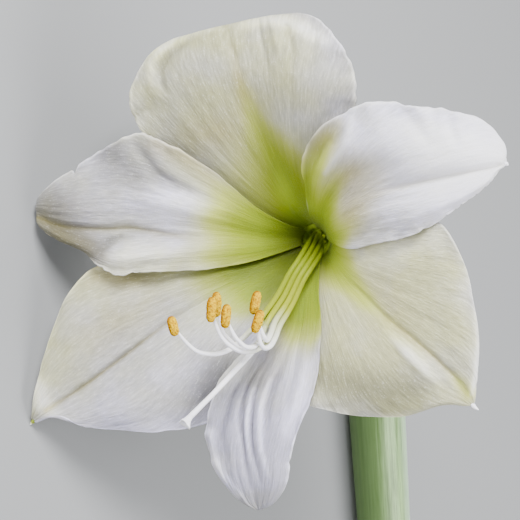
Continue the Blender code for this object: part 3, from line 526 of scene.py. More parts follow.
            (((8, -6), (18.5, -17), (26.5, -25), (36, -33)), (0, -1.0, -0.8, 0), 6.0),
        ),
        "strokes": (
            ("green", ((8, -1), (13, -8), (18.5, -16), (26.5, -25), (36, -33.5)),
             (1, 0.75, 0.65, 0.5, 0.2), (8, 7, 7, 6, 4)),
            ("green", ((61, -55), (66, -59), (69.5, -64)), (0.1, 0.4, 0.35), (2.5, 3, 3)),
            ("shade", ((33, -31), (49.5, -44), (61.5, -55), (69.5, -64)),
             (0.3, 0.45, 0.5, 0.5), (1.8, 1.4, 1.4, 1.6)),
            ("painted_highlight", ((34.5, -38), (43.5, -46), (51, -53.5), (58, -60.5)),
             (0.2, 1, 0.9, 0.1), (2.4, 2.8, 2.6, 2)),
            ("painted_highlight", ((69, -10), (73, -30), (73.5, -50), (71, -64)),
             (0.3, 0.5, 0.7, 0.7), (1.0, 1.2, 1.2, 1.2)),
            ("painted_highlight", ((24, -6), (38, -2), (52, 2)), (0.3, 0.6, 0.4), (5, 6, 6)),
            ("painted_shade", ((6, -56), (24, -62), (46, -62)), (0.6, 0.85, 0.75), (12, 12, 10)),
            ("shade", ((22, -14), (34, -27), (44, -36)), (0.2, 0.3, 0.1), (7, 9, 8)),
            ("painted_highlight", ((13, -6), (20, -14), (30, -24)), (0.2, 0.2, 0.1), (6, 7, 7)),
        ),
    },
    "right_petal": {
        "claw": (5.6, 42.0, 36.0, 4.4),
        "painted_shading": 0.0,
        "bulge": 3.0,
        "ruffle": (0.7, 8.0),
        "crinkle": 1.6,
        "nicks": ((-1.0, 0.55, 0.02, 0.02), (-1.0, 0.69, 0.02, 0.015), (1.0, 0.4, 0.05, 0.015)),
        "radial": 0.7,
        "green_reach": (40.0, 34.0, 28.0),
        "warmth": (0.1, 0.0, 0.2),
        "rows": (
            ((0.5, 22.5, 3.5), (10.5, 16, 3.5), (17, -2, 3.5)),
            ((-1.5, 34, 4), (20, 21.5, 3), (30, 0, 3)),
            ((4, 46, 4), (31, 24, 3), (41, 2, 3)),
            ((19, 57, 3), (41.5, 24, 3), (51, 6, 2)),
            ((34.5, 61, 1), (51, 25, 2), (59.5, 11.5, 1)),
            ((49, 58, 0), (60, 26, 1), (67, 17, 0)),
            ((63.5, 56.8, -2), (68, 28, 0), (74, 22, -2)),
            ((77.8, 51, -4), (76, 30, -2), (79.5, 27, -3)),
            ((85, 42, -5), (81.5, 32.5, -4), (82.7, 31.5, -5)),
            ((85.6, 35.2, -6), (85.4, 34, -6), (84.4, 32.6, -6)),
        ),
        "folds": (
            (((7, 24), (9, 30), (14.5, 37), (17.5, 43.5), (19.5, 51), (21, 57)),
             (0, 0.9, 1.3, 1.3, 1.1, 0.4), 1.8),
            (((3, 26), (6.5, 36), (11, 43), (15, 51)), (0, -1.3, -1.5, 0), 3.2),
            (((10, 18), (14, 25), (20, 30), (32, 33), (44, 33)), (0, -1.0, -1.3, -0.8, 0), 5.5),
            (((24, 2.5), (30, 8), (33, 15)), (-0.3, -0.5, 0), 1.8),
            (((33, 4), (39, 8), (44, 14)), (-0.3, -0.5, 0), 2.0),
            (((34, 22), (50, 26), (66, 29.5), (82, 33)), (0, -1.2, -1.2, -0.6), 2.2),
            (((44, 54), (50, 46), (56, 40)), (-0.6, -0.6, 0), 3.0),
            (((60, 54), (63, 46), (66, 40)), (-0.6, -0.5, 0), 2.6),
        ),
        "strokes": (
            ("green", ((6, 2), (8, 12), (10.5, 20), (14, 28)), (1, 0.95, 0.75, 0.3), (6, 5, 4.5, 4.5)),
            ("green", ((2, 10), (1, 25), (5, 33), (10, 42)), (1, 0.7, 0.55, 0.15), (5,)),
            ("green", ((8, 0), (14, 3), (19, 7), (25, 12)), (1, 0.65, 0.3, 0.05), (5,)),
            ("shade", ((10, 20), (15, 27), (22, 31.5), (34, 35)), (0.6, 0.7, 0.6, 0.1), (5, 6, 7, 6)),
            ("shade", ((1, 30), (5, 38), (9, 45), (13, 51)), (0.9, 0.9, 0.8, 0.4), (6, 6, 6, 5)),
            ("shade", ((13, 1), (18, 9), (23, 17), (29, 26)), (0.5, 0.75, 0.7, 0.45), (5, 8, 9, 8)),
            ("painted_shade", ((12, 22), (17, 28), (25, 32)), (0.3, 0.3, 0.1), (5, 6, 6)),
            ("shade", ((28, 20), (46, 25), (66, 29.5), (83, 33)),
             (0.2, 0.4, 0.4, 0.5), (1.6, 1.4, 1.2, 1.2)),
            ("painted_shade", ((34, 57), (50, 54), (64, 52), (78, 46)), (0.3, 0.35, 0.3, 0.2), (3,)),
            ("painted_shade", ((40, 4), (54, 12), (68, 20)), (0.3, 0.25, 0.1), (5, 4, 3)),
            ("painted_shade", ((-1, 22), (0.5, 34), (5, 44), (13, 54)), (0.5, 0.6, 0.55, 0.3), (4,)),
            ("green", ((0, 22), (3, 34), (8, 43), (14, 50)), (0.5, 0.35, 0.25, 0.1), (6, 6, 6, 5)),
            ("painted_highlight", ((36, 42), (58, 40), (80, 36)), (0.5, 1, 1), (20, 26, 24)),
            ("painted_highlight", ((36, 12), (52, 20), (70, 28)), (0.3, 0.5, 0.5), (10, 9, 8)),
            ("painted_highlight", ((9, 30), (14.5, 37), (17.5, 43.5), (19.5, 51), (20.5, 56)),
             (0.5, 0.7, 0.7, 0.6, 0.3), (0.9, 1.0, 1.0, 1.2, 1.5)),
            ("painted_highlight", ((2, 8), (1, 15), (-0.5, 25), (-1, 34), (1, 42)),
             (0.2, 0.4, 0.5, 0.5, 0.5), (0.8, 0.8, 0.9, 1.0, 1.0)),
            ("painted_highlight", ((20, 58), (34, 61), (50, 58), (66, 56), (80, 50)),
             (0.5, 0.7, 0.6, 0.5, 0.4), (1.6, 1.8, 1.6, 1.4, 1.4)),
        ),
    },
}
print("tepals:", ", ".join(TEPALS))

# %% [markdown]
# ## Smooth lines through the rows
#
# A cubic curve that passes through every point it is given is what a drawn outline needs. The three lines
# are turned into distance, bearing and lift on the trumpet before they are smoothed, so that the blade
# between them follows the trumpet's round form and not a flat chord across it.

# %% Curves and rails


def along_curve(points, place):
    """Return points at the places 0 to 1 of a smooth curve through rows of numbers."""
    points = np.asarray(points, dtype=float)
    padded = np.vstack((2 * points[0] - points[1], points, 2 * points[-1] - points[-2]))
    spot = np.atleast_1d(place) * (len(points) - 1)
    index = np.minimum(spot.astype(int), len(points) - 2)
    t = (spot - index)[:, None]
    before, start, end, after = (padded[index + step] for step in range(4))
    near = (2 * t ** 3 - 3 * t ** 2 + 1) * start + (t ** 3 - 2 * t ** 2 + t) * (end - before) / 2.0
    far = (3 * t ** 2 - 2 * t ** 3) * end + (t ** 3 - t ** 2) * (after - start) / 2.0
    return near + far


def tepal_rails(tepal):
    """Return left margin, middle and right margin as rows of reach, bearing and lift."""
    radius, bearing, half_width, claw_lift = tepal["claw"]
    middle = math.radians(bearing)
    rails = []
    for side in range(3):
        rail = [seen_on_trumpet(*row[side]) for row in tepal["rows"]]
        rails.append([(p[0], middle + math.remainder(p[1] - middle, math.tau), p[2]) for p in rail])
    turn = math.radians(half_width) * (1.0 if rails[0][2][1] > rails[1][2][1] else -1.0)
    for rail, offset in zip(rails, (turn, 0.0, -turn)):
        rail.insert(0, (radius, middle + offset, claw_lift))
    return [np.array(rail) for rail in rails]


RAILS = {name: tepal_rails(tepal) for name, tepal in TEPALS.items()}
print("longest reach of the left petal:", round(float(RAILS["left_petal"][1][:, 0].max()), 1), "mm")

# %% [markdown]
# ## From a flat grid to a tepal
#
# A petal is a thin sheet, so it starts as a grid primitive. Its two grid directions become "across" and
# "along" the petal, and each vertex is moved to its place between the three lines. Bending tools can't
# follow such a drawn form, so the vertices are moved in code. On the drawn form lie the ruffled margin, the
# folds, and a soft relief that runs out from the throat as the veins do. Solidify gives the sheet its
# thickness. Two attributes go along: paint for the large areas of colour and for painted shade and painted
# highlights, and flow for the veins' direction.

# %% Fields over a tepal
ALONG_STEPS = 190
ACROSS_STEPS = 124
BLADE = 0.7
RELIEF = (0.40, 0.16)
FOLD_DEPTH = 1.6
LINE_PLACES = 33
MARGIN_DEPTH = 0.013
VEIN_FAN = 58.0
VEIN_SPREAD = 36.0
# Painted shade that darkens each blade deep in the throat.
THROAT_SHADE = 0.35


def smooth_step(value, start, end):
    """Return 0 before start, 1 after end, and a soft change between them."""
    t = np.clip((value - start) / (end - start), 0.0, 1.0)
    return t * t * (3.0 - 2.0 * t)


def field_noise(first, second, seed):
    """Return smooth noise, about -1 to 1, for arrays of two coordinates."""
    return np.array([noise.noise((a, b, seed)) for a, b in zip(first.tolist(), second.tolist())])


def seen_places(points):
    """Return where the eye sees points of the bloom's frame, as x and y of the drawing."""
    to_drawing = bloom_matrix()
    drawn = points @ np.array(to_drawing.to_3x3()).T + np.array(to_drawing.translation) / MM
    shrink = 1.0 - drawn[:, 2] / EYE.z
    x = EYE.x + (drawn[:, 0] - EYE.x) / shrink
    y = EYE.y + (drawn[:, 1] - EYE.y) / shrink
    return np.stack((x, y), axis=1)


def line_field(seen, line, values, widths):
    """Return a soft ridge of the given values and half widths along a drawn line."""
    run = along_curve(line, np.linspace(0.0, 1.0, LINE_PLACES))
    step = np.diff(run, axis=0)
    offset = seen[:, None, :] - run[None, :-1, :]
    share = np.clip((offset * step).sum(axis=2) / (step ** 2).sum(axis=1), 0.0, 1.0)
    squared = ((offset - share[:, :, None] * step) ** 2).sum(axis=2)
    best = squared.argmin(axis=1)
    nearest = (best + share[np.arange(len(seen)), best]) / len(step)
    value = np.interp(nearest, np.linspace(0.0, 1.0, len(values)), values)
    width = np.interp(nearest, np.linspace(0.0, 1.0, len(widths)), widths)
    return value * np.exp(-squared.min(axis=1) / width ** 2)


def across_mix(values, across):
    """Blend three values, for left margin, middle and right margin, across a tepal from -1 to 1."""
    left, middle, right = values
    return middle + across * (right - left) / 2.0 + across ** 2 * ((right + left) / 2.0 - middle)


def tepal_surface(tepal, rails, across, along, seed):
    """Return places in the bloom's frame, seen places, reach and the veins' flow, all in millimetres."""
    notch = field_noise(along * 17.0, across * 0.8 + 5.0, seed)
    notch = notch + 0.5 * field_noise(along * 43.0, across, seed + 3.0)
    width = 1.0 + MARGIN_DEPTH * tepal["crinkle"] * notch * across ** 6 * np.sin(math.pi * along) ** 0.5
    for side, spot, depth, half_width in tepal["nicks"]:
        sharp = depth * np.exp(-((along - spot) / half_width) ** 2)
        width = width - sharp * np.where(across * side > 0.0, across ** 8, 0.0)
    place = across_mix([along_curve(rail, along) for rail in rails], (across * width)[:, None])
    grow = np.maximum(np.sin(math.pi * along), 0.0)
    bulge = tepal["bulge"] * grow ** 0.8 * np.sin(math.pi * np.abs(across)) ** 2
    height, count = tepal["ruffle"]
    ruffle = height * np.sin(math.tau * count * along + 2.0 * across) * across ** 4 * grow ** 2
    crinkle = field_noise(along * 24.0, across * 1.5, seed + 9.0)
    crinkle = tepal["crinkle"] * crinkle * np.abs(across) ** 9 * grow
    reach = place[:, 0]
    bearing = place[:, 1] - rails[1][0, 1]
    blend = tepal["radial"]
    sense = -1.0 if rails[0][2, 1] > rails[1][2, 1] else 1.0
    flow_across = blend * bearing * VEIN_FAN + (1.0 - blend) * across * VEIN_SPREAD * sense
    relief = RELIEF[0] * field_noise(flow_across / 4.2, reach / 30.0, seed + 20.0)
    relief = relief + RELIEF[1] * field_noise(flow_across / 1.5, reach / 9.0, seed + 30.0)
    relief = relief * smooth_step(reach, 12.0, 40.0)
    lift = place[:, 2] + bulge + ruffle + crinkle + relief
    up = trumpet(reach) + lift
    points = np.stack((reach * np.cos(place[:, 1]), reach * np.sin(place[:, 1]), up), axis=1)
    seen = seen_places(points)
    front = smooth_step(1.0 - along, 0.0, 0.12)
    for line, heights, half_width in tepal["folds"]:
        points[:, 2] += FOLD_DEPTH * line_field(seen, line, heights, (half_width,)) * front
    return points, seen, reach, np.stack((flow_across, reach, np.zeros_like(reach)), axis=1)


def tepal_paint(tepal, across, along, reach, seen):
    """Return how green, cream and beige-shaded each point is, and its painted light and shade, 0.5 being
    plain.
    """
    green_end = across_mix(tepal["green_reach"], across)
    green = 0.75 * (1.0 - smooth_step(reach, 0.2 * green_end, green_end))
    warm = across_mix(tepal["warmth"], across)
    # Painted highlight along the thin margins, where the rim catches the light.
    rim = 0.5 * smooth_step(np.abs(across), 0.965, 0.995) * smooth_step(reach, 40.0, 60.0)
    # Painted shade deep in the throat, and over the whole blade by its own darkening number.
    deep = THROAT_SHADE * (1.0 - smooth_step(reach, 7.0, 19.0))
    painted_shade = tepal["painted_shading"] * (1.0 - deep) + deep
    fields = {"green": green, "shade": np.zeros_like(warm), "painted_highlight": rim, "painted_shade": painted_shade}
    for channel, line, strengths, widths in tepal["strokes"]:
        drawn = line_field(seen, line, strengths, widths)
        kept = fields[channel]
        fields[channel] = kept + drawn - kept * drawn
    # Painted light and shade together: painted highlights raise it above 0.5, painted shade lowers it.
    painted_shading = 0.5 + 0.5 * fields["painted_highlight"] - 0.5 * fields["painted_shade"]
    return np.stack((fields["green"], warm, fields["shade"], painted_shading), axis=1)


print("relief heights:", RELIEF, "mm")

# %% Tepal maker


def vertex_places(mesh):
    """Return the places of a mesh's vertices as an array."""
    places = np.empty(len(mesh.vertices) * 3, dtype=np.float32)
    mesh.vertices.foreach_get("co", places)
    return places.reshape(-1, 3).astype(float)


def set_coordinates(mesh, points):
    """Write an array of places into a mesh."""
    mesh.vertices.foreach_set("co", points.astype(np.float32).ravel())
    mesh.update()


def add_attribute(mesh, name, kind, values):
    """Write an array of values, one row per vertex, as an attribute of a mesh."""
    field = "vector" if kind == "FLOAT_VECTOR" else "color"
    attribute = mesh.attributes.new(name, kind, "POINT")
    attribute.data.foreach_set(field, values.astype(np.float32).ravel())


def finish_piece(piece, *nodes, slot, look):
    """Give a piece its finish, hide the imported parts that it stands for, and let it ride on the flower."""
    piece.data.materials.clear()
    piece.data.materials.append(look)
    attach(piece, "root")
    if nodes:
        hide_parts(*nodes)


def apply_all(piece):
    """Apply every modifier of a piece."""
    bpy.context.view_layer.objects.active = piece
    for modifier in list(piece.modifiers):
        bpy.ops.object.modifier_apply(modifier=modifier.name)


def new_sheet(name, columns, rows):
    """Add a flat grid, and return it with across (-1 to 1) and along (0 to 1) for each vertex."""
    bpy.ops.object.select_all(action="DESELECT")
    bpy.ops.mesh.primitive_grid_add(x_subdivisions=columns, y_subdivisions=rows, size=2.0)
    sheet = bpy.context.active_object
    sheet.name = name
    flat = vertex_places(sheet.data)
    return sheet, flat[:, 0], np.clip((flat[:, 1] + 1.0) / 2.0, 0.0, 1.0)


def thicken(sheet, thickness):
    """Give a sheet its thickness in millimetres, half to each side, and shade it smooth."""
    solidify = sheet.modifiers.new("thickness", "SOLIDIFY")
    solidify.thickness = thickness * MM
    solidify.offset = 0.0
    apply_all(sheet)
    bpy.ops.object.shade_smooth()


def make_tepal(name, seed, look):
    """Turn a grid into one tepal that stands for the node of the same name."""
    tepal = TEPALS[name]
    piece, across, along = new_sheet(f"{name}_blade", ACROSS_STEPS, ALONG_STEPS)
    points, seen, reach, flow = tepal_surface(tepal, RAILS[name], across, along, seed)
    set_coordinates(piece.data, placed(points, BLOOM))
    add_attribute(piece.data, "paint", "FLOAT_COLOR", tepal_paint(tepal, across, along, reach, seen))
    add_attribute(piece.data, "flow", "FLOAT_VECTOR", flow * MM)
    thicken(piece, BLADE)
    finish_piece(piece, name, slot="sepal" if name.endswith("sepal") else "petal", look=look)
    return piece


print("grid:", ACROSS_STEPS, "by", ALONG_STEPS)

# %% [markdown]
# ## Petal tissue
#
# A white amaryllis is not plain white. Close up it shows fine veins, a faint glittering grain of cells,
# cream and lilac-white areas, and the green that runs up from the throat. The paint attribute says where
# the large areas are, and it carries painted shade and painted highlights for the light on the creases,
# hollows, rims and folds. The glitter of the cells is painted too, as light specks. One node group adds the
# fine strokes along the veins' flow, so that every tepal has them at the same size, and the shader lets some
# light through the thin blade.

# %% Stroke group


def new_group(name, inputs, outputs):
    """Make an empty shader node group with named sockets."""
    group = bpy.data.node_groups.new(name, "ShaderNodeTree")
    for label, kind, value in inputs:
        socket = group.interface.new_socket(label, in_out="INPUT", socket_type=kind)
        if value is not None:
            socket.default_value = value
    for label, kind in outputs:
        group.interface.new_socket(label, in_out="OUTPUT", socket_type=kind)
    return group, group.nodes.new("NodeGroupInput"), group.nodes.new("NodeGroupOutput")


def add_node(tree, kind, **settings):
    """Add a node and set its properties."""
    node = tree.nodes.new(kind)
    for key, value in settings.items():
        setattr(node, key, value)
    return node


def build_strokes():
    """Group: long veins and short strokes along a flow vector, of given counts per unit of the flow."""
    group, source, target = new_group(
        "flow_strokes",
        (
            ("Flow", "NodeSocketVector", None),
            ("Veins", "NodeSocketFloat", 500.0),
            ("Strokes", "NodeSocketFloat", 1200.0),
        ),
        (("Vein", "NodeSocketFloat"), ("Stroke", "NodeSocketFloat")),
    )
    for label, output, run in (("Veins", "Vein", 0.05), ("Strokes", "Stroke", 0.16)):
        narrow = add_node(group, "ShaderNodeVectorMath", operation="MULTIPLY")
        narrow.inputs[1].default_value = (1.0, run, 1.0)
        group.links.new(source.outputs["Flow"], narrow.inputs[0])
        scale = add_node(group, "ShaderNodeVectorMath", operation="SCALE")
        group.links.new(narrow.outputs[0], scale.inputs[0])
        group.links.new(source.outputs[label], scale.inputs["Scale"])
        texture = add_node(group, "ShaderNodeTexNoise")
        set_inputs(texture, {"Scale": 1.0, "Detail": 3.0, "Roughness": 0.6})
        group.links.new(scale.outputs[0], texture.inputs["Vector"])
        group.links.new(texture.outputs["Fac"], target.inputs[output])
    return group


STROKES = build_strokes()
print("group:", STROKES.name)

# %% [markdown]
# ## Steps that every material here takes
#
# All finishes of this flower are made the same way. Painted areas and flow come in as attributes, one plain
# colour after another is laid over the ground, and a height becomes the bump. Each step is one small
# function, so that a material reads like a recipe.

# %% Steps of a material


def new_material(name):
    """Start a material, and return it with its node tree and its shader."""
    material = bpy.data.materials.new(name)
    material.use_nodes = True
    return material, material.node_tree, material.node_tree.nodes["Principled BSDF"]


def painted_areas(tree):
    """Return the paint attribute's four channels as Red, Green, Blue and Alpha."""
    paint = add_node(tree, "ShaderNodeAttribute", attribute_name="paint")
    areas = add_node(tree, "ShaderNodeSeparateColor")
    tree.links.new(paint.outputs["Color"], areas.inputs[0])
    channels = {label: areas.outputs[label] for label in ("Red", "Green", "Blue")}
    return {**channels, "Alpha": paint.outputs["Alpha"]}


def flow_lines(tree, veins, strokes):
    """Return the outputs Vein and Stroke of the stroke group, laid along the flow attribute."""
    flow = add_node(tree, "ShaderNodeAttribute", attribute_name="flow")
    lines = add_node(tree, "ShaderNodeGroup", node_tree=STROKES)
    set_inputs(lines, {"Veins": veins, "Strokes": strokes})
    tree.links.new(flow.outputs["Vector"], lines.inputs["Flow"])
    return lines.outputs


def texture_here(tree, kind, output, values):
    """Return an output of a texture that is laid on the piece's own place."""
    place = add_node(tree, "ShaderNodeTexCoord")
    texture = add_node(tree, kind)
    set_inputs(texture, values)
    tree.links.new(place.outputs["Object"], texture.inputs["Vector"])
    return texture.outputs[output]


def layer_over(tree, below, colour, mask):
    """Lay a plain colour over what is below it, a socket or a colour too, where the mask says."""
    mix = add_node(tree, "ShaderNodeMix", data_type="RGBA")
    factor, first, second = mix.inputs[0], mix.inputs[6], mix.inputs[7]
    if isinstance(below, tuple):
        first.default_value = below
    else:
        tree.links.new(below, first)
    second.default_value = colour
    tree.links.new(mask, factor)
    return mix.outputs[2]


def map_range(tree, value, low, high, start, end):
    """Add a map range node for a value and return its result."""
    node = add_node(tree, "ShaderNodeMapRange")
    set_inputs(node, {"From Min": low, "From Max": high, "To Min": start, "To Max": end})
    tree.links.new(value, node.inputs["Value"])
    return node.outputs["Result"]


def do_math(tree, operation, first, second, third=None):
    """Add a math node. Each operand is a socket or a number."""
    node = add_node(tree, "ShaderNodeMath", operation=operation)
    for socket, value in zip(node.inputs, (first, second, third)):
        if isinstance(value, (int, float)):
            socket.default_value = value
        elif value is not None:
            tree.links.new(value, socket)
    return node.outputs[0]


def scale_colour(tree, colour, factor):
    """Multiply a colour by a number and return the result."""
    node = add_node(tree, "ShaderNodeVectorMath", operation="SCALE")
    tree.links.new(colour, node.inputs[0])
    tree.links.new(factor, node.inputs["Scale"])
    return node.outputs[0]


def add_bump(tree, height, strength, distance, invert=False):
    """Turn a height into the shader's normal. The distance is in millimetres."""
    bump = add_node(tree, "ShaderNodeBump", invert=invert)
    set_inputs(bump, {"Strength": strength, "Distance": distance * MM})
    tree.links.new(height, bump.inputs["Height"])
    tree.links.new(bump.outputs["Normal"], tree.nodes["Principled BSDF"].inputs["Normal"])


def let_light_through(tree, ground, share):
    """Mix the shader with light that comes through the blade from behind, by a share of 0 to 1."""
    through = add_node(tree, "ShaderNodeBsdfTranslucent")
    tree.links.new(ground, through.inputs["Color"])
    blend = add_node(tree, "ShaderNodeMixShader")
    blend.inputs[0].default_value = share
    tree.links.new(tree.nodes["Principled BSDF"].outputs[0], blend.inputs[1])
    tree.links.new(through.outputs[0], blend.inputs[2])
    tree.links.new(blend.outputs[0], tree.nodes["Material Output"].inputs["Surface"])


print("steps ready")

# %% Petal material
CREAM = (0.74, 0.73, 0.42, 1.0)
WHITE = (0.77, 0.75, 0.93, 1.0)
# SHADE: a beige, partly the tissue's own colour and partly painted shade in creases and hollows.
SHADE = (0.52, 0.44, 0.10, 1.0)
# The white of the painted highlights, rims and glints.
HIGHLIGHT_WHITE = (0.95, 0.94, 0.94, 1.0)
PALE_GREEN = (0.70, 0.72, 0.21, 1.0)
LIME = (0.42, 0.515, 0.005, 1.0)
DEEP_GREEN = (0.35, 0.47, 0.004, 1.0)
GREEN_LAYERS = ((PALE_GREEN, 0.02, 0.52), (LIME, 0.25, 0.85), (DEEP_GREEN, 0.80, 1.0))
LIGHT_THROUGH = 0.24


def tissue_material(name):
    """Material of the tepals: painted areas, painted shade and light, strokes, grain, and light through the
    blade.
    """
    material, tree, principled = new_material(name)
    areas = painted_areas(tree)
    lines = flow_lines(tree, 560.0, 1450.0)
    cloud = texture_here(tree, "ShaderNodeTexNoise", "Fac", {"Scale": 42.0, "Detail": 3.0})
    cells = texture_here(tree, "ShaderNodeTexNoise", "Fac", {"Scale": 1500.0, "Detail": 2.0})

    drift = map_range(tree, cloud, 0.3, 0.7, -0.30, 0.30)
    ground = layer_over(tree, WHITE, CREAM, do_math(tree, "ADD", areas["Green"], drift))
    ground = layer_over(tree, ground, SHADE, areas["Blue"])
    stroke_tone = map_range(tree, lines["Stroke"], 0.3, 0.7, 0.80, 1.10)
    vein_tone = map_range(tree, lines["Vein"], 0.3, 0.7, 0.88, 1.06)
    ground = scale_colour(tree, ground, do_math(tree, "MULTIPLY", stroke_tone, vein_tone))

    ragged = map_range(tree, lines["Vein"], 0.3, 0.7, -0.10, 0.10)
    green = do_math(tree, "MULTIPLY_ADD", ragged, areas["Red"], areas["Red"])
    for colour, low, high in GREEN_LAYERS:
        ground = layer_over(tree, ground, colour, map_range(tree, green, low, high, 0.0, 1.0))
    # Painted shade where the paint's alpha is below 0.5, painted highlights where it is above.
    ground = scale_colour(tree, ground, map_range(tree, areas["Alpha"], 0.0, 0.5, 0.26, 1.0))
    ground = layer_over(tree, ground, HIGHLIGHT_WHITE, map_range(tree, areas["Alpha"], 0.5, 1.0, 0.0, 0.8))
    # Painted glints: light specks where the cell grain and the strokes peak, for the glittering cells.
    glint_spots = do_math(tree, "MULTIPLY", cells, lines["Stroke"])
    painted_glint = map_range(tree, glint_spots, 0.31, 0.42, 0.0, 0.2)
    not_green = do_math(tree, "SUBTRACT", 1.0, areas["Red"])
    ground = layer_over(tree, ground, HIGHLIGHT_WHITE, do_math(tree, "MULTIPLY", painted_glint, not_green))
    tree.links.new(ground, principled.inputs["Base Color"])

    tree.links.new(map_range(tree, cells, 0.35, 0.65, 0.36, 0.58), principled.inputs["Roughness"])
    height = do_math(tree, "MULTIPLY_ADD", lines["Stroke"], 0.9, lines["Vein"])
    add_bump(tree, do_math(tree, "MULTIPLY_ADD", cells, 0.45, height), 0.8, 0.4)
    set_inputs(principled, {
        "Subsurface Weight": 0.2,
        "Subsurface Radius": (1.0, 0.9, 0.55),
        "Subsurface Scale": 0.0025,
        "Specular IOR Level": 0.4,
        "Sheen Weight": 0.08,
    })
    let_light_through(tree, ground, LIGHT_THROUGH)
    return material


TISSUE = tissue_material("petal_tissue")
for number, tepal_name in enumerate(TEPALS):
    blade = make_tepal(tepal_name, 11.0 * number + 2.0, TISSUE)
    print(blade.name, len(blade.data.polygons), "faces")

# %% [markdown]
# ## Places of the stamens and the style
#
# Six filaments and the style leave the throat as one close bundle, bow downwards and curl up at their ends.
# The bundle's middle line is drawn first. Each strand then lies beside it, so the strands can't cross where
# they are close together. After the bundle each one has a free run of its own, up to the back of its anther.

# %% Bundle and strand control points
BUNDLE = (
    (3.5, -3.0, 12.0),
    (-0.5, -9.5, 25.0),
    (-4.0, -15.0, 31.0),
    (-8.5, -24.0, 42.0),
    (-14.0, -32.5, 52.0),
)
BUNDLE_ACROSS = Vector((0.785, -0.62, 0.0)).normalized()
BUNDLE_WIDTHS = (0.82, 0.78, 0.80, 0.86, 0.94)
RING_HEIGHT = -5.6
STRAND = 1.9
STYLE = 2.2
ANTHER = Vector((3.7, 3.6, 9.8))
ANTHER_HOLD = 1.2
STAMENS = (
    {
        "ring": 170.0,
        "bundle": (-4.0, 0.6),
        "free": (
            (-20.5, -34.5, 53.0), (-23.5, -37.5, 54.5), (-27.0, -41.0, 56.0), (-31.0, -44.5, 58.5),
            (-35.5, -46.5, 61.0), (-40.0, -47.0, 64.0), (-45.5, -46.0, 67.0), (-50.0, -42.5, 69.5),
        ),
        "anther": ((-55.0, -39.0, 74.0), (-57.0, -31.5, 76.0)),
    },
    {
        "ring": 310.0,
        "bundle": (2.8, -1.8),
        "free": (
            (-14.5, -39.5, 53.0), (-18.0, -43.5, 58.5), (-21.5, -45.5, 62.0), (-25.0, -46.0, 66.0),
            (-28.0, -45.5, 68.5), (-31.0, -44.0, 70.5), (-34.0, -41.5, 72.5), (-36.5, -37.5, 74.0),
        ),
        "anther": ((-40.0, -33.0, 77.5), (-39.5, -23.5, 79.5)),
    },
    {
        "ring": 230.0,
        "bundle": (-2.8, -1.8),
        "free": (
            (-18.5, -39.5, 53.0), (-20.0, -43.0, 55.5), (-22.5, -45.0, 57.5), (-25.5, -45.5, 60.0),
            (-28.0, -44.5, 62.5), (-30.5, -42.5, 65.0), (-33.0, -40.0, 67.0), (-35.0, -37.0, 68.0),
        ),
        "anther": ((-37.5, -31.0, 71.5), (-37.5, -21.0, 73.5)),
    },
    {
        "ring": 115.0,
        "bundle": (-1.35, 1.2),
        "free": (
            (-17.0, -36.0, 54.5), (-18.5, -39.5, 58.0), (-20.0, -42.5, 62.0), (-22.0, -44.0, 66.0),
            (-25.0, -44.0, 69.5), (-27.5, -42.0, 71.5), (-30.0, -39.0, 73.0),
        ),
        "anther": ((-34.0, -36.0, 76.0), (-33.0, -26.0, 78.0)),
    },
    {
        "ring": 65.0,
        "bundle": (1.35, 1.4),
        "free": (
            (-14.5, -38.5, 57.5), (-16.0, -41.0, 61.0), (-17.5, -39.5, 64.5), (-19.0, -36.0, 66.0),
            (-20.5, -32.0, 67.0),
        ),
        "anther": ((-22.0, -30.0, 70.5), (-20.0, -20.5, 72.5)),
    },
    {
        "ring": 10.0,
        "bundle": (4.0, 0.8),
        "free": (
            (-12.5, -40.0, 57.0), (-14.5, -43.5, 60.5), (-17.0, -44.5, 64.0), (-18.5, -43.0, 66.5),
            (-19.5, -39.5, 68.0),
        ),
        "anther": ((-21.5, -38.0, 71.5), (-18.5, -28.5, 73.5)),
    },
)
STYLE_BUNDLE = (0.0, -1.3)
STYLE_FREE = (
    (-16.0, -38.0, 49.5), (-20.5, -43.5, 50.0), (-24.0, -48.0, 52.5), (-31.0, -55.5, 59.5),
    (-37.5, -62.5, 64.5), (-43.5, -68.5, 69.0), (-48.5, -73.5, 72.5),
)
STYLE_TIP = (-51.5, -77.0, 74.5)


def ring_place(turn_degrees, radius, height):
    """Return a point of the drawing on a ring round the bloom's axis, counted from the bundle's across."""
    front = (bloom_matrix().to_3x3() @ Vector((0.0, 0.0, 1.0))).normalized()
    across = (BUNDLE_ACROSS - front * BUNDLE_ACROSS.dot(front)).normalized()
    second = front.cross(across)
    turn = math.radians(turn_degrees)
    return THROAT + front * height + (across * math.cos(turn) + second * math.sin(turn)) * radius


def bundle_points(place):
    """Return a strand's points inside the bundle, beside the bundle's middle line."""
    middle = [seen_point(*point) for point in BUNDLE]
    points = []
    for index, point in enumerate(middle):
        before = middle[index - 1] if index > 0 else THROAT
        after = middle[index + 1] if index + 1 < len(middle) else point * 2.0 - before
        run = (after - before).normalized()
        across = (BUNDLE_ACROSS - run * BUNDLE_ACROSS.dot(run)).normalized()
        width = BUNDLE_WIDTHS[index]
        points.append(point + across * place[0] * width + run.cross(across) * place[1] * width)
    return points


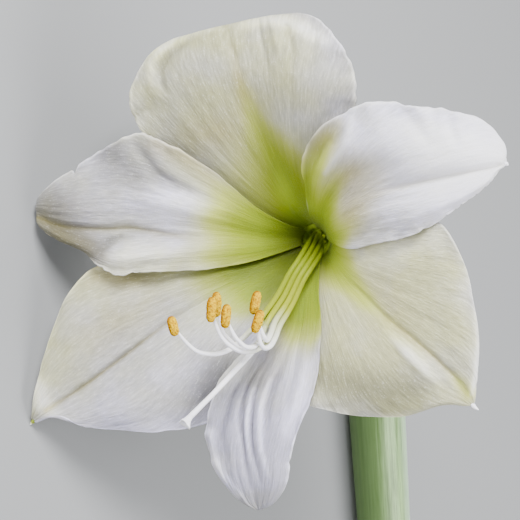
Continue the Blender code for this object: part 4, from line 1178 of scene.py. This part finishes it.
def filament_controls(stamen):
    """Return a filament's control points, in millimetres of the drawing, up to the back of its anther."""
    low_end, high_end = (seen_point(*end) for end in stamen["anther"])
    run = (high_end - low_end).normalized()
    back = (run * run.z - Vector((0.0, 0.0, 1.0))).normalized()
    controls = [ring_place(stamen["ring"], 3.0, RING_HEIGHT)]
    controls.append(ring_place(stamen["ring"], 2.7, RING_HEIGHT + 2.0))
    controls += bundle_points(stamen["bundle"])
    controls += [seen_point(*point) for point in stamen["free"]]
    controls.append((low_end + high_end) / 2.0 - run * ANTHER_HOLD + back * (ANTHER.y / 2.0 + 0.4))
    return controls


print("first filament has", len(filament_controls(STAMENS[0])), "control points")

# %% [markdown]
# ## Filaments and style
#
# A strand is a curve with a round bevel: its control points stay easy to read, and each point's radius makes
# it thicker at the foot and finer at the end. Converted to a mesh, it can carry a paint attribute, which
# says how far along the strand a point lies. The material turns that into green near the throat.

# %% Strand material
STRAND_WHITE = (0.82, 0.81, 0.86, 1.0)
STRAND_PALE = (0.30, 0.33, 0.012, 1.0)
STRAND_GREEN = (0.155, 0.20, 0.001, 1.0)


def strand_material():
    """Material of filaments and style: green at the foot, white and slightly clear at the end."""
    material, tree, principled = new_material("strand_tissue")
    areas = painted_areas(tree)
    lines = flow_lines(tree, 1500.0, 2400.0)
    drift = map_range(tree, lines["Vein"], 0.3, 0.7, -0.10, 0.10)
    green = do_math(tree, "MULTIPLY_ADD", drift, areas["Red"], areas["Red"])
    ground = layer_over(tree, STRAND_WHITE, STRAND_PALE, map_range(tree, green, 0.0, 0.5, 0.0, 1.0))
    ground = layer_over(tree, ground, STRAND_GREEN, map_range(tree, green, 0.45, 1.0, 0.0, 1.0))
    tree.links.new(ground, principled.inputs["Base Color"])
    add_bump(tree, lines["Stroke"], 0.3, 0.15)
    set_inputs(principled, {
        "Roughness": 0.5,
        "Subsurface Weight": 0.3,
        "Subsurface Radius": (1.0, 1.0, 0.7),
        "Subsurface Scale": 0.0015,
    })
    return material


STRAND_TISSUE = strand_material()
print("material:", STRAND_TISSUE.name)

# %% Tube along a line


def make_tube(name, centres, radii, smoothness):
    """Lay a round tube along places in the world, and return it with how far along each vertex lies."""
    bpy.ops.object.select_all(action="DESELECT")
    bpy.ops.curve.primitive_nurbs_path_add()
    tube = bpy.context.active_object
    tube.name = name
    curve = tube.data
    curve.splines.clear()
    curve.bevel_depth = 1.0
    curve.bevel_resolution = smoothness
    curve.use_fill_caps = True
    curve.twist_mode = "MINIMUM"
    spline = curve.splines.new("POLY")
    spline.points.add(len(centres) - 1)
    for point, centre, radius in zip(spline.points, centres, radii):
        point.co = (*centre, 1.0)
        point.radius = radius
    tube.location = (0.0, 0.0, 0.0)
    bpy.ops.object.convert(target="MESH")
    tube = bpy.context.active_object
    places = vertex_places(tube.data)
    nearest = ((places[:, None, :] - centres[None, :, :]) ** 2).sum(axis=2).argmin(axis=1)
    run = np.gradient(centres, axis=0)
    length = np.cumsum(np.linalg.norm(run, axis=1))
    run = run / np.linalg.norm(run, axis=1)[:, None]
    fixed = np.array((0.3, 0.1, 0.95))
    side = fixed - run * (run @ fixed)[:, None]
    side = side / np.linalg.norm(side, axis=1)[:, None]
    offset = places - centres[nearest]
    round_x = (offset * side[nearest]).sum(axis=1)
    round_z = (offset * np.cross(run, side)[nearest]).sum(axis=1)
    add_attribute(tube.data, "flow", "FLOAT_VECTOR", np.stack((round_x, length[nearest], round_z), axis=1))
    bpy.ops.object.shade_smooth()
    return tube, nearest / (len(centres) - 1)


print("helper ready")

# %% Filaments and style
STRAND_STEPS = 110
ROUNDNESS = 6
FILAMENT_WIDTHS = (
    (0.0, 1.4), (0.1, 1.8), (0.22, 2.3), (0.5, 2.3), (0.75, STRAND), (0.93, 1.5), (0.985, 1.0), (1.0, 0.5),
)
STYLE_WIDTHS = ((0.0, 1.8), (0.1, 2.0), (0.22, 2.3), (0.5, 2.3), (0.6, STYLE), (0.9, 2.0), (1.0, 2.3))
FILAMENT_GREEN = (0.14, 0.76)
STYLE_GREEN = (0.14, 0.62)


def make_strand(name, controls, diameters, look, green, slot, *nodes):
    """Lay a strand of changing thickness along the controls and paint how green it is."""
    along = np.linspace(0.0, 1.0, STRAND_STEPS)
    centres = placed(along_curve([tuple(point) for point in controls], along), DRAWING)
    strand, reached = make_tube(name, centres, np.interp(along, *zip(*diameters)) * MM / 2.0, ROUNDNESS)
    paint = np.ones((len(reached), 4))
    paint[:, 0] = 1.0 - smooth_step(reached, *green)
    add_attribute(strand.data, "paint", "FLOAT_COLOR", paint)
    finish_piece(strand, *nodes, slot=slot, look=look)


for number, stamen in enumerate(STAMENS, start=1):
    make_strand(
        f"filament_{number}_strand",
        filament_controls(stamen),
        FILAMENT_WIDTHS,
        STRAND_TISSUE,
        FILAMENT_GREEN,
        "filament",
        f"filament_{number}",
    )

style_controls = [ring_place(0.0, 0.0, RING_HEIGHT), ring_place(0.0, 0.0, RING_HEIGHT + 2.0)]
style_controls += bundle_points(STYLE_BUNDLE)
style_controls += [seen_point(*point) for point in STYLE_FREE]
make_strand("style_strand", style_controls, STYLE_WIDTHS, STRAND_TISSUE, STYLE_GREEN, "filament", "style")
print("strands:", len(STAMENS) + 1)

# %% [markdown]
# ## Points at the tips
#
# Three of the tepals end in a small fleshy point, a little bent, where the two halves of the bud's tip
# touched. Each is a short tube that gets thinner to its end and goes on from the tepal's middle line.

# %% Points
POINTS = {
    "lower_left_sepal": (2.4, Vector((-0.3, -0.5, 0.3)), 1.2),
    "lower_right_sepal": (3.0, Vector((0.6, -0.2, 0.3)), 0.0),
    "right_petal": (1.2, Vector((0.2, -0.6, 0.2)), 0.2),
}


def tip_place(name, along):
    """Return the place on a tepal's middle line, in millimetres of the drawing."""
    reach, bearing, lift = along_curve(RAILS[name][1], along)[0]
    place = Vector((reach * math.cos(bearing), reach * math.sin(bearing), float(trumpet(reach)) + lift))
    return bloom_matrix() @ (place * MM) / MM


POINT_WIDTHS = ((0.0, 1.2), (0.4, 2.0), (0.75, 1.3), (1.0, 0.4))

for name, (length, bend, green) in POINTS.items():
    foot = tip_place(name, 0.985)
    tip = tip_place(name, 1.0)
    run = (tip - foot).normalized()
    controls = [foot, tip, tip + run * length * 0.4 + bend * 0.3, tip + run * length * 0.7 + bend * 1.6]
    make_strand(f"{name}_point", controls, POINT_WIDTHS, STRAND_TISSUE, (-1.0 + green, green), "sepal")
print("points:", len(POINTS))

# %% [markdown]
# ## Anthers
#
# An anther is two long pollen sacs side by side. When they open they turn inside out and show the golden
# pollen. A UV sphere has its poles at the two ends already, so it is stretched to the anther's size and its
# ends are made blunt. Noise heaps the surface up into clumps of pollen. The attribute paint keeps where brown
# lies: along one long side, partly the wall of the sacs and partly painted shade on that side, and as
# painted shade in the hollows between clumps. It also keeps which clumps are paler, the pollen's own
# mottling together with painted light on the raised clumps.

# %% Anther material
POLLEN = (0.46, 0.24, 0.0, 1.0)
POLLEN_LIGHT = (0.72, 0.47, 0.0, 1.0)
# The brown of the sacs' wall, also used as painted shade on one side and in the hollows.
POLLEN_BROWN_SHADE = (0.24, 0.085, 0.0, 1.0)


def anther_material():
    """Anthers: golden grains, with brown along one side and in hollows, partly sac wall and partly painted
    shade.
    """
    material, tree, principled = new_material("golden_pollen")
    areas = painted_areas(tree)
    grains = texture_here(tree, "ShaderNodeTexVoronoi", "Distance", {"Scale": 3600.0})
    # Paler on raised clumps: the pollen's own mottling together with painted light.
    light = do_math(tree, "ADD", areas["Green"], map_range(tree, grains, 0.1, 0.7, 0.25, -0.25))
    ground = layer_over(tree, POLLEN, POLLEN_LIGHT, light)
    ground = layer_over(tree, ground, POLLEN_BROWN_SHADE, areas["Red"])
    tree.links.new(ground, principled.inputs["Base Color"])
    add_bump(tree, grains, 0.7, 0.2, invert=True)
    set_inputs(principled, {"Roughness": 0.95, "Specular IOR Level": 0.0})
    return material


GOLDEN_POLLEN = anther_material()
print("material:", GOLDEN_POLLEN.name)

# %% Anthers
ANTHER_SIZES = (0.80, 1.0, 1.0, 0.95, 0.95, 0.95)


def make_anther(number, stamen, look):
    """Shape a sphere into one anther between its two ends."""
    low_end, high_end = (seen_point(*end) for end in stamen["anther"])
    run = (high_end - low_end).normalized()
    middle = (low_end + high_end) / 2.0
    towards = EYE - middle
    towards = (towards - run * towards.dot(run)).normalized()
    bpy.ops.object.select_all(action="DESELECT")
    bpy.ops.mesh.primitive_uv_sphere_add(segments=90, ring_count=72, radius=1.0)
    anther = bpy.context.active_object
    anther.name = f"anther_{number}_sacs"
    mesh = anther.data
    size = Vector((ANTHER.x / 2.0, ANTHER.y / 2.0, ANTHER.z / 2.0 * ANTHER_SIZES[number - 1]))
    paint = np.zeros((len(mesh.vertices), 4))
    for index, vertex in enumerate(mesh.vertices):
        x, y, z = vertex.co
        round_part = math.sqrt(max(1.0 - z * z, 1e-6))
        blunt = max(1.0 - abs(z) ** 3.4, 0.0) ** (1.0 / 2.6) / round_part
        place = Vector((x * size.x, y * size.y, z * size.z))
        clump = noise.noise(place * 1.5 + Vector((number * 9.0, 0.0, 0.0)))
        grain = noise.noise(place * 3.4 + Vector((0.0, number * 9.0, 0.0)))
        # Painted shade along one long side, mixed with the brown of the sacs' wall.
        shaded_edge = math.exp(-((x + 1.0 * round_part) / 0.42) ** 2)
        seam = math.exp(-((x - 0.12) / 0.10) ** 2) * max(-y, 0.0)
        spread = blunt * (1.0 + 0.13 * clump + 0.10 * grain - 0.06 * seam)
        depth = y * size.y * spread + 0.3 * z * z
        vertex.co = (x * size.x * spread, depth, z * size.z * (1.0 + 0.02 * grain))
        # Brown: the shaded side, the seam, and painted shade in the hollows between clumps. Raised clumps are
        # paler, partly painted light.
        brown = 0.9 * shaded_edge + 0.2 * seam + 1.0 * max(-clump - 0.2, 0.0) + 0.5 * max(-grain - 0.2, 0.0)
        paint[index] = (min(brown, 0.9), 0.55 + 0.9 * clump + 0.6 * grain, 0.0, 1.0)
    add_attribute(mesh, "paint", "FLOAT_COLOR", np.clip(paint, 0.0, 1.0))
    side = run.cross(towards).normalized()
    turned = Matrix((side, -towards, run)).transposed().to_4x4()
    to_metres = Matrix.Diagonal((MM, MM, MM, 1.0))
    mesh.transform(DRAWING @ to_metres @ Matrix.Translation(middle) @ turned)
    bpy.ops.object.shade_smooth()
    finish_piece(anther, f"anther_{number}", slot="anther", look=look)


for number, stamen in enumerate(STAMENS, start=1):
    make_anther(number, stamen, GOLDEN_POLLEN)
print("anthers:", len(STAMENS))

# %% [markdown]
# ## Turned forms
#
# The stigma, the cup behind the throat, the ovary and the stalk are all round in section. Each starts as a
# circle, which is extruded ring by ring in edit mode: after an extrude the new ring is selected, so it can
# be moved along and scaled to its own radius. The last ring is merged into one point, and the form is closed.

# %% Turned form helper


def turned_form(name, profile, sides):
    """Extrude a circle through a profile of (radius, height) rings, and close both ends."""
    bpy.ops.object.select_all(action="DESELECT")
    radius, height = profile[0]
    bpy.ops.mesh.primitive_circle_add(vertices=sides, radius=radius * MM, fill_type="TRIFAN")
    form = bpy.context.active_object
    form.name = name
    bpy.ops.object.mode_set(mode="EDIT")
    bpy.ops.mesh.select_all(action="SELECT")
    bpy.ops.transform.translate(value=(0.0, 0.0, height * MM))
    bpy.ops.mesh.select_mode(type="EDGE")
    bpy.ops.mesh.select_all(action="DESELECT")
    bpy.ops.mesh.select_non_manifold()
    for next_radius, next_height in profile[1:]:
        step = (0.0, 0.0, (next_height - height) * MM)
        bpy.ops.mesh.extrude_region_move(TRANSFORM_OT_translate={"value": step})
        scale = next_radius / radius
        centre = (0.0, 0.0, next_height * MM)
        bpy.ops.transform.resize(value=(scale, scale, 1.0), center_override=centre)
        radius, height = next_radius, next_height
    bpy.ops.mesh.extrude_region_move(TRANSFORM_OT_translate={"value": (0.0, 0.0, 0.0)})
    bpy.ops.mesh.merge(type="CENTER")
    bpy.ops.mesh.select_all(action="SELECT")
    bpy.ops.mesh.normals_make_consistent(inside=False)
    bpy.ops.object.mode_set(mode="OBJECT")
    return form


def draw_lobes(form, count, depth, phase=0.0):
    """Draw a turned form out into rounded lobes. Depth may depend on the height in millimetres."""
    for vertex in form.data.vertices:
        turn = math.atan2(vertex.co.y, vertex.co.x)
        scale = 1.0 + depth(vertex.co.z / MM) * math.cos(count * turn + phase)
        vertex.co.x *= scale
        vertex.co.y *= scale


print("helper ready")

# %% [markdown]
# ## Stigma
#
# At its end the style opens into three short white lobes that bend outwards. A small turned cone is drawn
# out into three lobes, more so towards its rim.

# %% Stigma
stigma_run = (seen_point(*STYLE_TIP) - style_controls[-1]).normalized()
STIGMA_RINGS = (
    (1.0, -1.0), (1.15, 0.0), (1.35, 1.0), (1.75, 2.2), (2.2, 3.1), (2.35, 3.5), (2.1, 3.6), (1.3, 3.2),
    (0.5, 2.9),
)
stigma = turned_form("stigma_lobes", STIGMA_RINGS, 48)
draw_lobes(stigma, 3, lambda height: 0.26 * float(smooth_step(height, 0.8, 3.4)))
turned = stigma_run.to_track_quat("Z", "Y").to_matrix().to_4x4()
stigma.data.transform(DRAWING @ Matrix.Translation((style_controls[-1] + stigma_run * 0.6) * MM) @ turned)
bpy.ops.object.shade_smooth()
add_attribute(stigma.data, "paint", "FLOAT_COLOR", np.zeros((len(stigma.data.vertices), 4)))
finish_piece(stigma, "stigma", slot="stigma", look=STRAND_TISSUE)
print("stigma:", len(stigma.data.polygons), "faces")

# %% [markdown]
# ## Cup, ovary and pedicel
#
# Behind the throat the six claws grow together into a short green cup. Behind that sits the ovary with its
# three rounded lobes, each with a seam, and the pedicel carries the bloom on the stalk. They can't be seen
# from in front, but the part is looked at from all sides. All of them share one green skin: a slight gloss
# and fine lengthwise lines. The lines use the same group as the petals, on a flow that goes round the piece.

# %% Green skin material
STALK_GREEN = (0.055, 0.11, 0.02, 1.0)
STALK_PALE = (0.36, 0.54, 0.24, 1.0)
CUP_GREEN = (0.22, 0.32, 0.01, 1.0)
CUP_PALE = (0.32, 0.42, 0.03, 1.0)
CUT_PALE = (0.74, 0.80, 0.50, 1.0)
# The pale of a lit side, a painted highlight.
LIT_SIDE_PALE = (0.60, 0.78, 0.62, 1.0)


def skin_material(name, base, pale):
    """Material of stalk, pedicel and ovary: fine lines along the piece, a slight gloss, painted light and
    shade by side.
    """
    material, tree, principled = new_material(name)
    areas = painted_areas(tree)
    flow = flow_lines(tree, 700.0, 1700.0)
    lines = do_math(tree, "MULTIPLY_ADD", flow["Stroke"], 0.5, flow["Vein"])
    ground = layer_over(tree, base, pale, map_range(tree, lines, 0.5, 1.0, 0.0, 1.0))
    # Painted highlight: a pale lit side where paint Green is low; painted shade: the base green where it is
    # high.
    ground = layer_over(tree, ground, LIT_SIDE_PALE, map_range(tree, areas["Green"], 0.48, 0.10, 0.0, 0.75))
    ground = layer_over(tree, ground, base, map_range(tree, areas["Green"], 0.62, 0.92, 0.0, 0.9))
    ground = layer_over(tree, ground, CUT_PALE, areas["Red"])
    tree.links.new(ground, principled.inputs["Base Color"])
    add_bump(tree, lines, 0.4, 0.2)
    tree.links.new(map_range(tree, lines, 0.5, 1.0, 0.42, 0.54), principled.inputs["Roughness"])
    set_inputs(principled, {
        "Subsurface Weight": 0.12,
        "Subsurface Radius": (0.6, 1.0, 0.4),
        "Subsurface Scale": 0.002,
    })
    return material


def flow_round(piece, stretch, cut, side=0.5):
    """Store the flow round an upright turned form, how much of it is cut tissue, and which side it faces, for
    painted shade and light.
    """
    places = vertex_places(piece.data)
    flow = np.stack((places[:, 0], -places[:, 2] * stretch, places[:, 1]), axis=1)
    add_attribute(piece.data, "flow", "FLOAT_VECTOR", flow)
    paint = np.zeros((len(places), 4))
    paint[:, 0] = cut
    paint[:, 1] = side
    add_attribute(piece.data, "paint", "FLOAT_COLOR", paint)


STALK_SKIN = skin_material("stalk_skin", STALK_GREEN, STALK_PALE)
CUP_SKIN = skin_material("cup_skin", CUP_GREEN, CUP_PALE)
print("materials:", STALK_SKIN.name, CUP_SKIN.name)

# %% Cup and ovary
CUP_RINGS = (
    (2.0, -6.0), (4.6, -6.0), (4.6, -4.5), (5.2, -3.0), (6.2, -1.8), (7.2, -1.0), (8.0, -0.9), (7.9, -2.5),
    (7.3, -5.0), (6.6, -8.0), (6.0, -10.5), (5.6, -13.0), (5.5, -14.0), (3.0, -14.0),
)
OVARY_RINGS = (
    (2.5, -13.6), (4.6, -13.7), (5.0, -14.6), (5.7, -17.0), (6.2, -19.6), (6.4, -22.3), (6.4, -26.3),
    (6.1, -29.0), (5.5, -31.3), (4.9, -33.2), (4.5, -34.2), (2.5, -34.4),
)
TURNED_SIDES = 72


def cup_lobe(height):
    """Return how deep the cup's six grooves are at a height: none at its rim and foot."""
    return 0.035 * float(smooth_step(-height, 0.5, 6.0) - smooth_step(-height, 9.0, 14.0))


def ovary_lobe(height):
    """Return how far the ovary's three lobes stand out at a height: most in its middle."""
    below = (OVARY_RINGS[0][1] - height) / (OVARY_RINGS[0][1] - OVARY_RINGS[-1][1])
    return 0.075 * math.sin(math.pi * min(max(below, 0.0), 1.0))


cup = turned_form("perianth_cup", CUP_RINGS, TURNED_SIDES)
draw_lobes(cup, 6, cup_lobe)
ovary = turned_form("ovary_body", OVARY_RINGS, TURNED_SIDES)
draw_lobes(ovary, 3, ovary_lobe)
turned_pieces = ((cup, "perianth_tube", "throat", CUP_SKIN), (ovary, "ovary", "stalk", STALK_SKIN))
for piece, node, slot, look in turned_pieces:
    rounded = piece.modifiers.new("rounded", "SUBSURF")
    rounded.levels = 1
    rounded.render_levels = 1
    bpy.context.view_layer.objects.active = piece
    apply_all(piece)
    flow_round(piece, 1.0, 0.0)
    piece.data.transform(BLOOM)
    bpy.ops.object.select_all(action="DESELECT")
    piece.select_set(True)
    bpy.ops.object.shade_smooth()
    finish_piece(piece, node, slot=slot, look=look)
    print(piece.name, len(piece.data.polygons), "faces")

# %% Pedicel
PEDICEL = 4.6
PEDICEL_REACH = 30.0
PEDICEL_STEPS = 60
PEDICEL_WAIST = 0.35
OVARY_END = -34.1
STALK_TOP = Vector((SHIFT_X, SHIFT_Y - 22.1, 11.74))

axis_back = (BLOOM.to_3x3() @ Vector((0.0, 0.0, -1.0))).normalized()
pedicel_start = BLOOM @ (Vector((0.0, 0.0, OVARY_END)) * MM)
pedicel_end = (STALK_TOP + Vector((0.0, 0.5, 0.0))) * MM
handles = np.array((
    pedicel_start,
    pedicel_start + axis_back * PEDICEL_REACH * MM,
    pedicel_end + Vector((0.0, PEDICEL_REACH, 0.0)) * MM,
    pedicel_end,
))
t = np.linspace(0.0, 1.0, PEDICEL_STEPS)
weights = np.stack(((1 - t) ** 3, 3 * t * (1 - t) ** 2, 3 * t * t * (1 - t), t ** 3), axis=1)
widths = (PEDICEL - PEDICEL_WAIST * np.maximum(np.sin(math.pi * t), 0.0) ** 0.7) * MM
pedicel, reached = make_tube("pedicel_stalk", weights @ handles, widths, 14)
# Its paint is zero, so the skin gives the pedicel the painted lit pale all round.
add_attribute(pedicel.data, "paint", "FLOAT_COLOR", np.zeros((len(reached), 4)))
finish_piece(pedicel, "pedicel", slot="stalk", look=STALK_SKIN)
print("pedicel:", len(pedicel.data.polygons), "faces")

# %% [markdown]
# ## The stalk
#
# The stalk of an amaryllis is a thick hollow tube, a little flattened where it lies, with fine lengthwise
# lines. Its rings are extruded from the top over the shoulder to the cut end, turn back there at the wall's
# thickness, and run up inside the bore. The cut face gets the pale colour of fresh tissue. Its left side
# gets painted shade, and its right side a painted pale where the light falls on it.

# %% Stalk
STALK_BODY = ((0.0, 12.0), (30.0, 13.0), (59.0, 13.5), (109.0, 12.7), (238.0, 12.5))
STALK_SHOULDER = (
    (3.0, 0.0), (6.0, 0.1), (7.8, 0.5), (9.5, 1.3), (10.6, 2.5), (11.3, 4.0), (11.8, 6.0), (12.2, 9.0),
)
STALK_LENGTH = 238.0
STALK_BORE = 8.5
BORE_END = 16.0
REST_FLAT = 0.26
STALK_RING = 6.0


def stalk_radius(below_top):
    """Return the stalk's radius at a distance below its top."""
    return float(np.interp(below_top, *zip(*STALK_BODY)))


stalk_rings = [(radius, -below) for radius, below in STALK_SHOULDER]
stalk_rings += [(stalk_radius(below), -below) for below in np.arange(12.0, STALK_LENGTH - 0.5, STALK_RING)]
stalk_rings += [(stalk_radius(STALK_LENGTH), -(STALK_LENGTH - 0.4))]
stalk_rings += [(12.1, -STALK_LENGTH), (9.0, -STALK_LENGTH)]
stalk_rings += [(STALK_BORE, -(STALK_LENGTH - 0.5))]
stalk_rings += [(STALK_BORE, -below) for below in (230.0, 200.0, 150.0, 100.0, 60.0, 30.0, BORE_END + 4.0)]
stalk_rings += [(7.0, -(BORE_END + 1.5)), (5.0, -BORE_END), (1.0, -BORE_END)]
stalk = turned_form("stalk_tube", stalk_rings, 96)
stalk_mesh = stalk.data
places = vertex_places(stalk_mesh) / MM
below = -places[:, 2]
radius = np.hypot(places[:, 0], places[:, 1])
body_radius = np.interp(below, *zip(*STALK_BODY))
cut = (below > STALK_LENGTH - 0.45) & (radius < 12.3)
bore = (radius < STALK_BORE + 0.2) & (below > BORE_END - 0.5)
# Painted shade on the stalk's left side and a painted lit pale on its right: 1 at the left, 0 at the right.
shade_side = 0.5 - 0.5 * places[:, 0] / np.maximum(radius, 1.0)
flow_round(stalk, 0.35, np.maximum(1.0 * cut, 0.8 * bore), np.clip(shade_side, 0.0, 1.0))
turn = np.arctan2(places[:, 1], places[:, 0])
rib = 0.10 * field_noise(np.cos(turn) * 6.0, np.sin(turn) * 6.0 + below * 0.01, 2.0)
rib = rib + 0.05 * field_noise(np.cos(turn) * 15.0, np.sin(turn) * 15.0 + below * 0.01, 7.0)
skin = (radius > body_radius - 1.2) & (below > 5.0) & (below < STALK_LENGTH - 1.0)
places[:, :2] *= (1.0 + skin * rib / np.maximum(radius, 1.0))[:, None]
places[:, 1] = -np.maximum(body_radius - places[:, 1], REST_FLAT)
set_coordinates(stalk_mesh, places * MM)
top_place = Matrix.Translation(Vector((STALK_TOP.x, STALK_TOP.y, -REST_FLAT)) * MM)
stalk_mesh.transform(top_place @ Matrix.Rotation(-math.pi / 2.0, 4, "X"))
bpy.ops.object.select_all(action="DESELECT")
stalk.select_set(True)
bpy.context.view_layer.objects.active = stalk
bpy.ops.object.shade_smooth_by_angle(angle=math.radians(40.0))
finish_piece(stalk, "scape", slot="stalk", look=STALK_SKIN)
print("stalk:", len(stalk_mesh.polygons), "faces")

# %% [markdown]
# ## Withered bracts
#
# Two bracts sheathed the bud. When the flower is open they are thin as paper, brown and rolled inwards. A
# grid is rolled like a gutter along a bowed line, it is crinkled a little, and Solidify gives it its small
# thickness.

# %% Bracts
BRACTS = {
    "spathe_1": {
        "turn": 24.0,
        "line": ((8.2, -0.3), (13.0, 13.0), (23.0, 27.0), (38.0, 38.0)),
        "twist": 24.0,
    },
    "spathe_2": {
        "turn": 178.0,
        "line": ((8.2, -0.3), (14.0, 12.0), (25.0, 23.0), (41.0, 31.0)),
        "twist": -20.0,
    },
}
BRACT_THICKNESS = 0.6
BRACT_COLUMNS = 36
BRACT_ROWS = 80
PAPER_LIGHT = (0.56, 0.43, 0.27, 1.0)
PAPER_DARK = (0.33, 0.20, 0.10, 1.0)


def bract_surface(bract, across, along):
    """Return places of the rolled bract in the stalk top's frame, in millimetres."""
    line = bract["line"]
    place = along_curve(line, along)
    ahead = along_curve(line, np.minimum(along + 0.02, 1.0))
    run = ahead - along_curve(line, np.maximum(along - 0.02, 0.0))
    run = run / np.linalg.norm(run, axis=1)[:, None]
    grow = np.maximum(np.sin(math.pi * along), 0.0)
    half_width = 6.0 * (1.0 - along) + 8.0 * grow ** 0.8 * (1.0 - along) + 0.8 * along
    roll = np.radians(42.0 + 30.0 * grow)
    radius = half_width / roll
    crinkle = 0.35 * np.sin(across * 9.0 + along * 6.0) * grow
    crinkle = crinkle + 0.25 * np.sin(along * 31.0 + across * 4.0) * grow
    side_step = radius * np.sin(across * roll)
    inward = radius * (1.0 - np.cos(across * roll)) + crinkle
    twist = math.radians(bract["twist"]) * along
    level = side_step * np.cos(twist) - inward * np.sin(twist)
    turned_in = side_step * np.sin(twist) + inward * np.cos(twist)
    out = place[:, 0] - run[:, 1] * turned_in
    up = place[:, 1] + run[:, 0] * turned_in
    turn = math.radians(bract["turn"])
    outward = np.array((math.cos(turn), 0.0, math.sin(turn)))
    sideways = np.array((-math.sin(turn), 0.0, math.cos(turn)))
    upward = np.array((0.0, 1.0, 0.0))
    return out[:, None] * outward + level[:, None] * sideways + up[:, None] * upward


def bract_material():
    """Material of the bracts: dry brown paper with darker veins along it."""
    material, tree, principled = new_material("withered_paper")
    lines = flow_lines(tree, 1300.0, 2500.0)
    ground = layer_over(tree, PAPER_LIGHT, PAPER_DARK, lines["Vein"])
    tree.links.new(ground, principled.inputs["Base Color"])
    add_bump(tree, lines["Stroke"], 0.6, 0.3)
    set_inputs(principled, {"Roughness": 0.7})
    let_light_through(tree, ground, 0.25)
    return material


WITHERED_PAPER = bract_material()
BRACT_FRAME = Matrix.Translation(STALK_TOP * MM)
for name, bract in BRACTS.items():
    piece, across, along = new_sheet(f"{name}_sheath", BRACT_COLUMNS, BRACT_ROWS)
    set_coordinates(piece.data, placed(bract_surface(bract, across, along), BRACT_FRAME))
    flow = np.stack((across * 9.0, (2.0 * along - 1.0) * 24.0, np.zeros(len(across))), axis=1)
    add_attribute(piece.data, "flow", "FLOAT_VECTOR", flow * MM)
    thicken(piece, BRACT_THICKNESS)
    finish_piece(piece, name, slot="bract", look=WITHERED_PAPER)
    print(piece.name, len(piece.data.polygons), "faces")
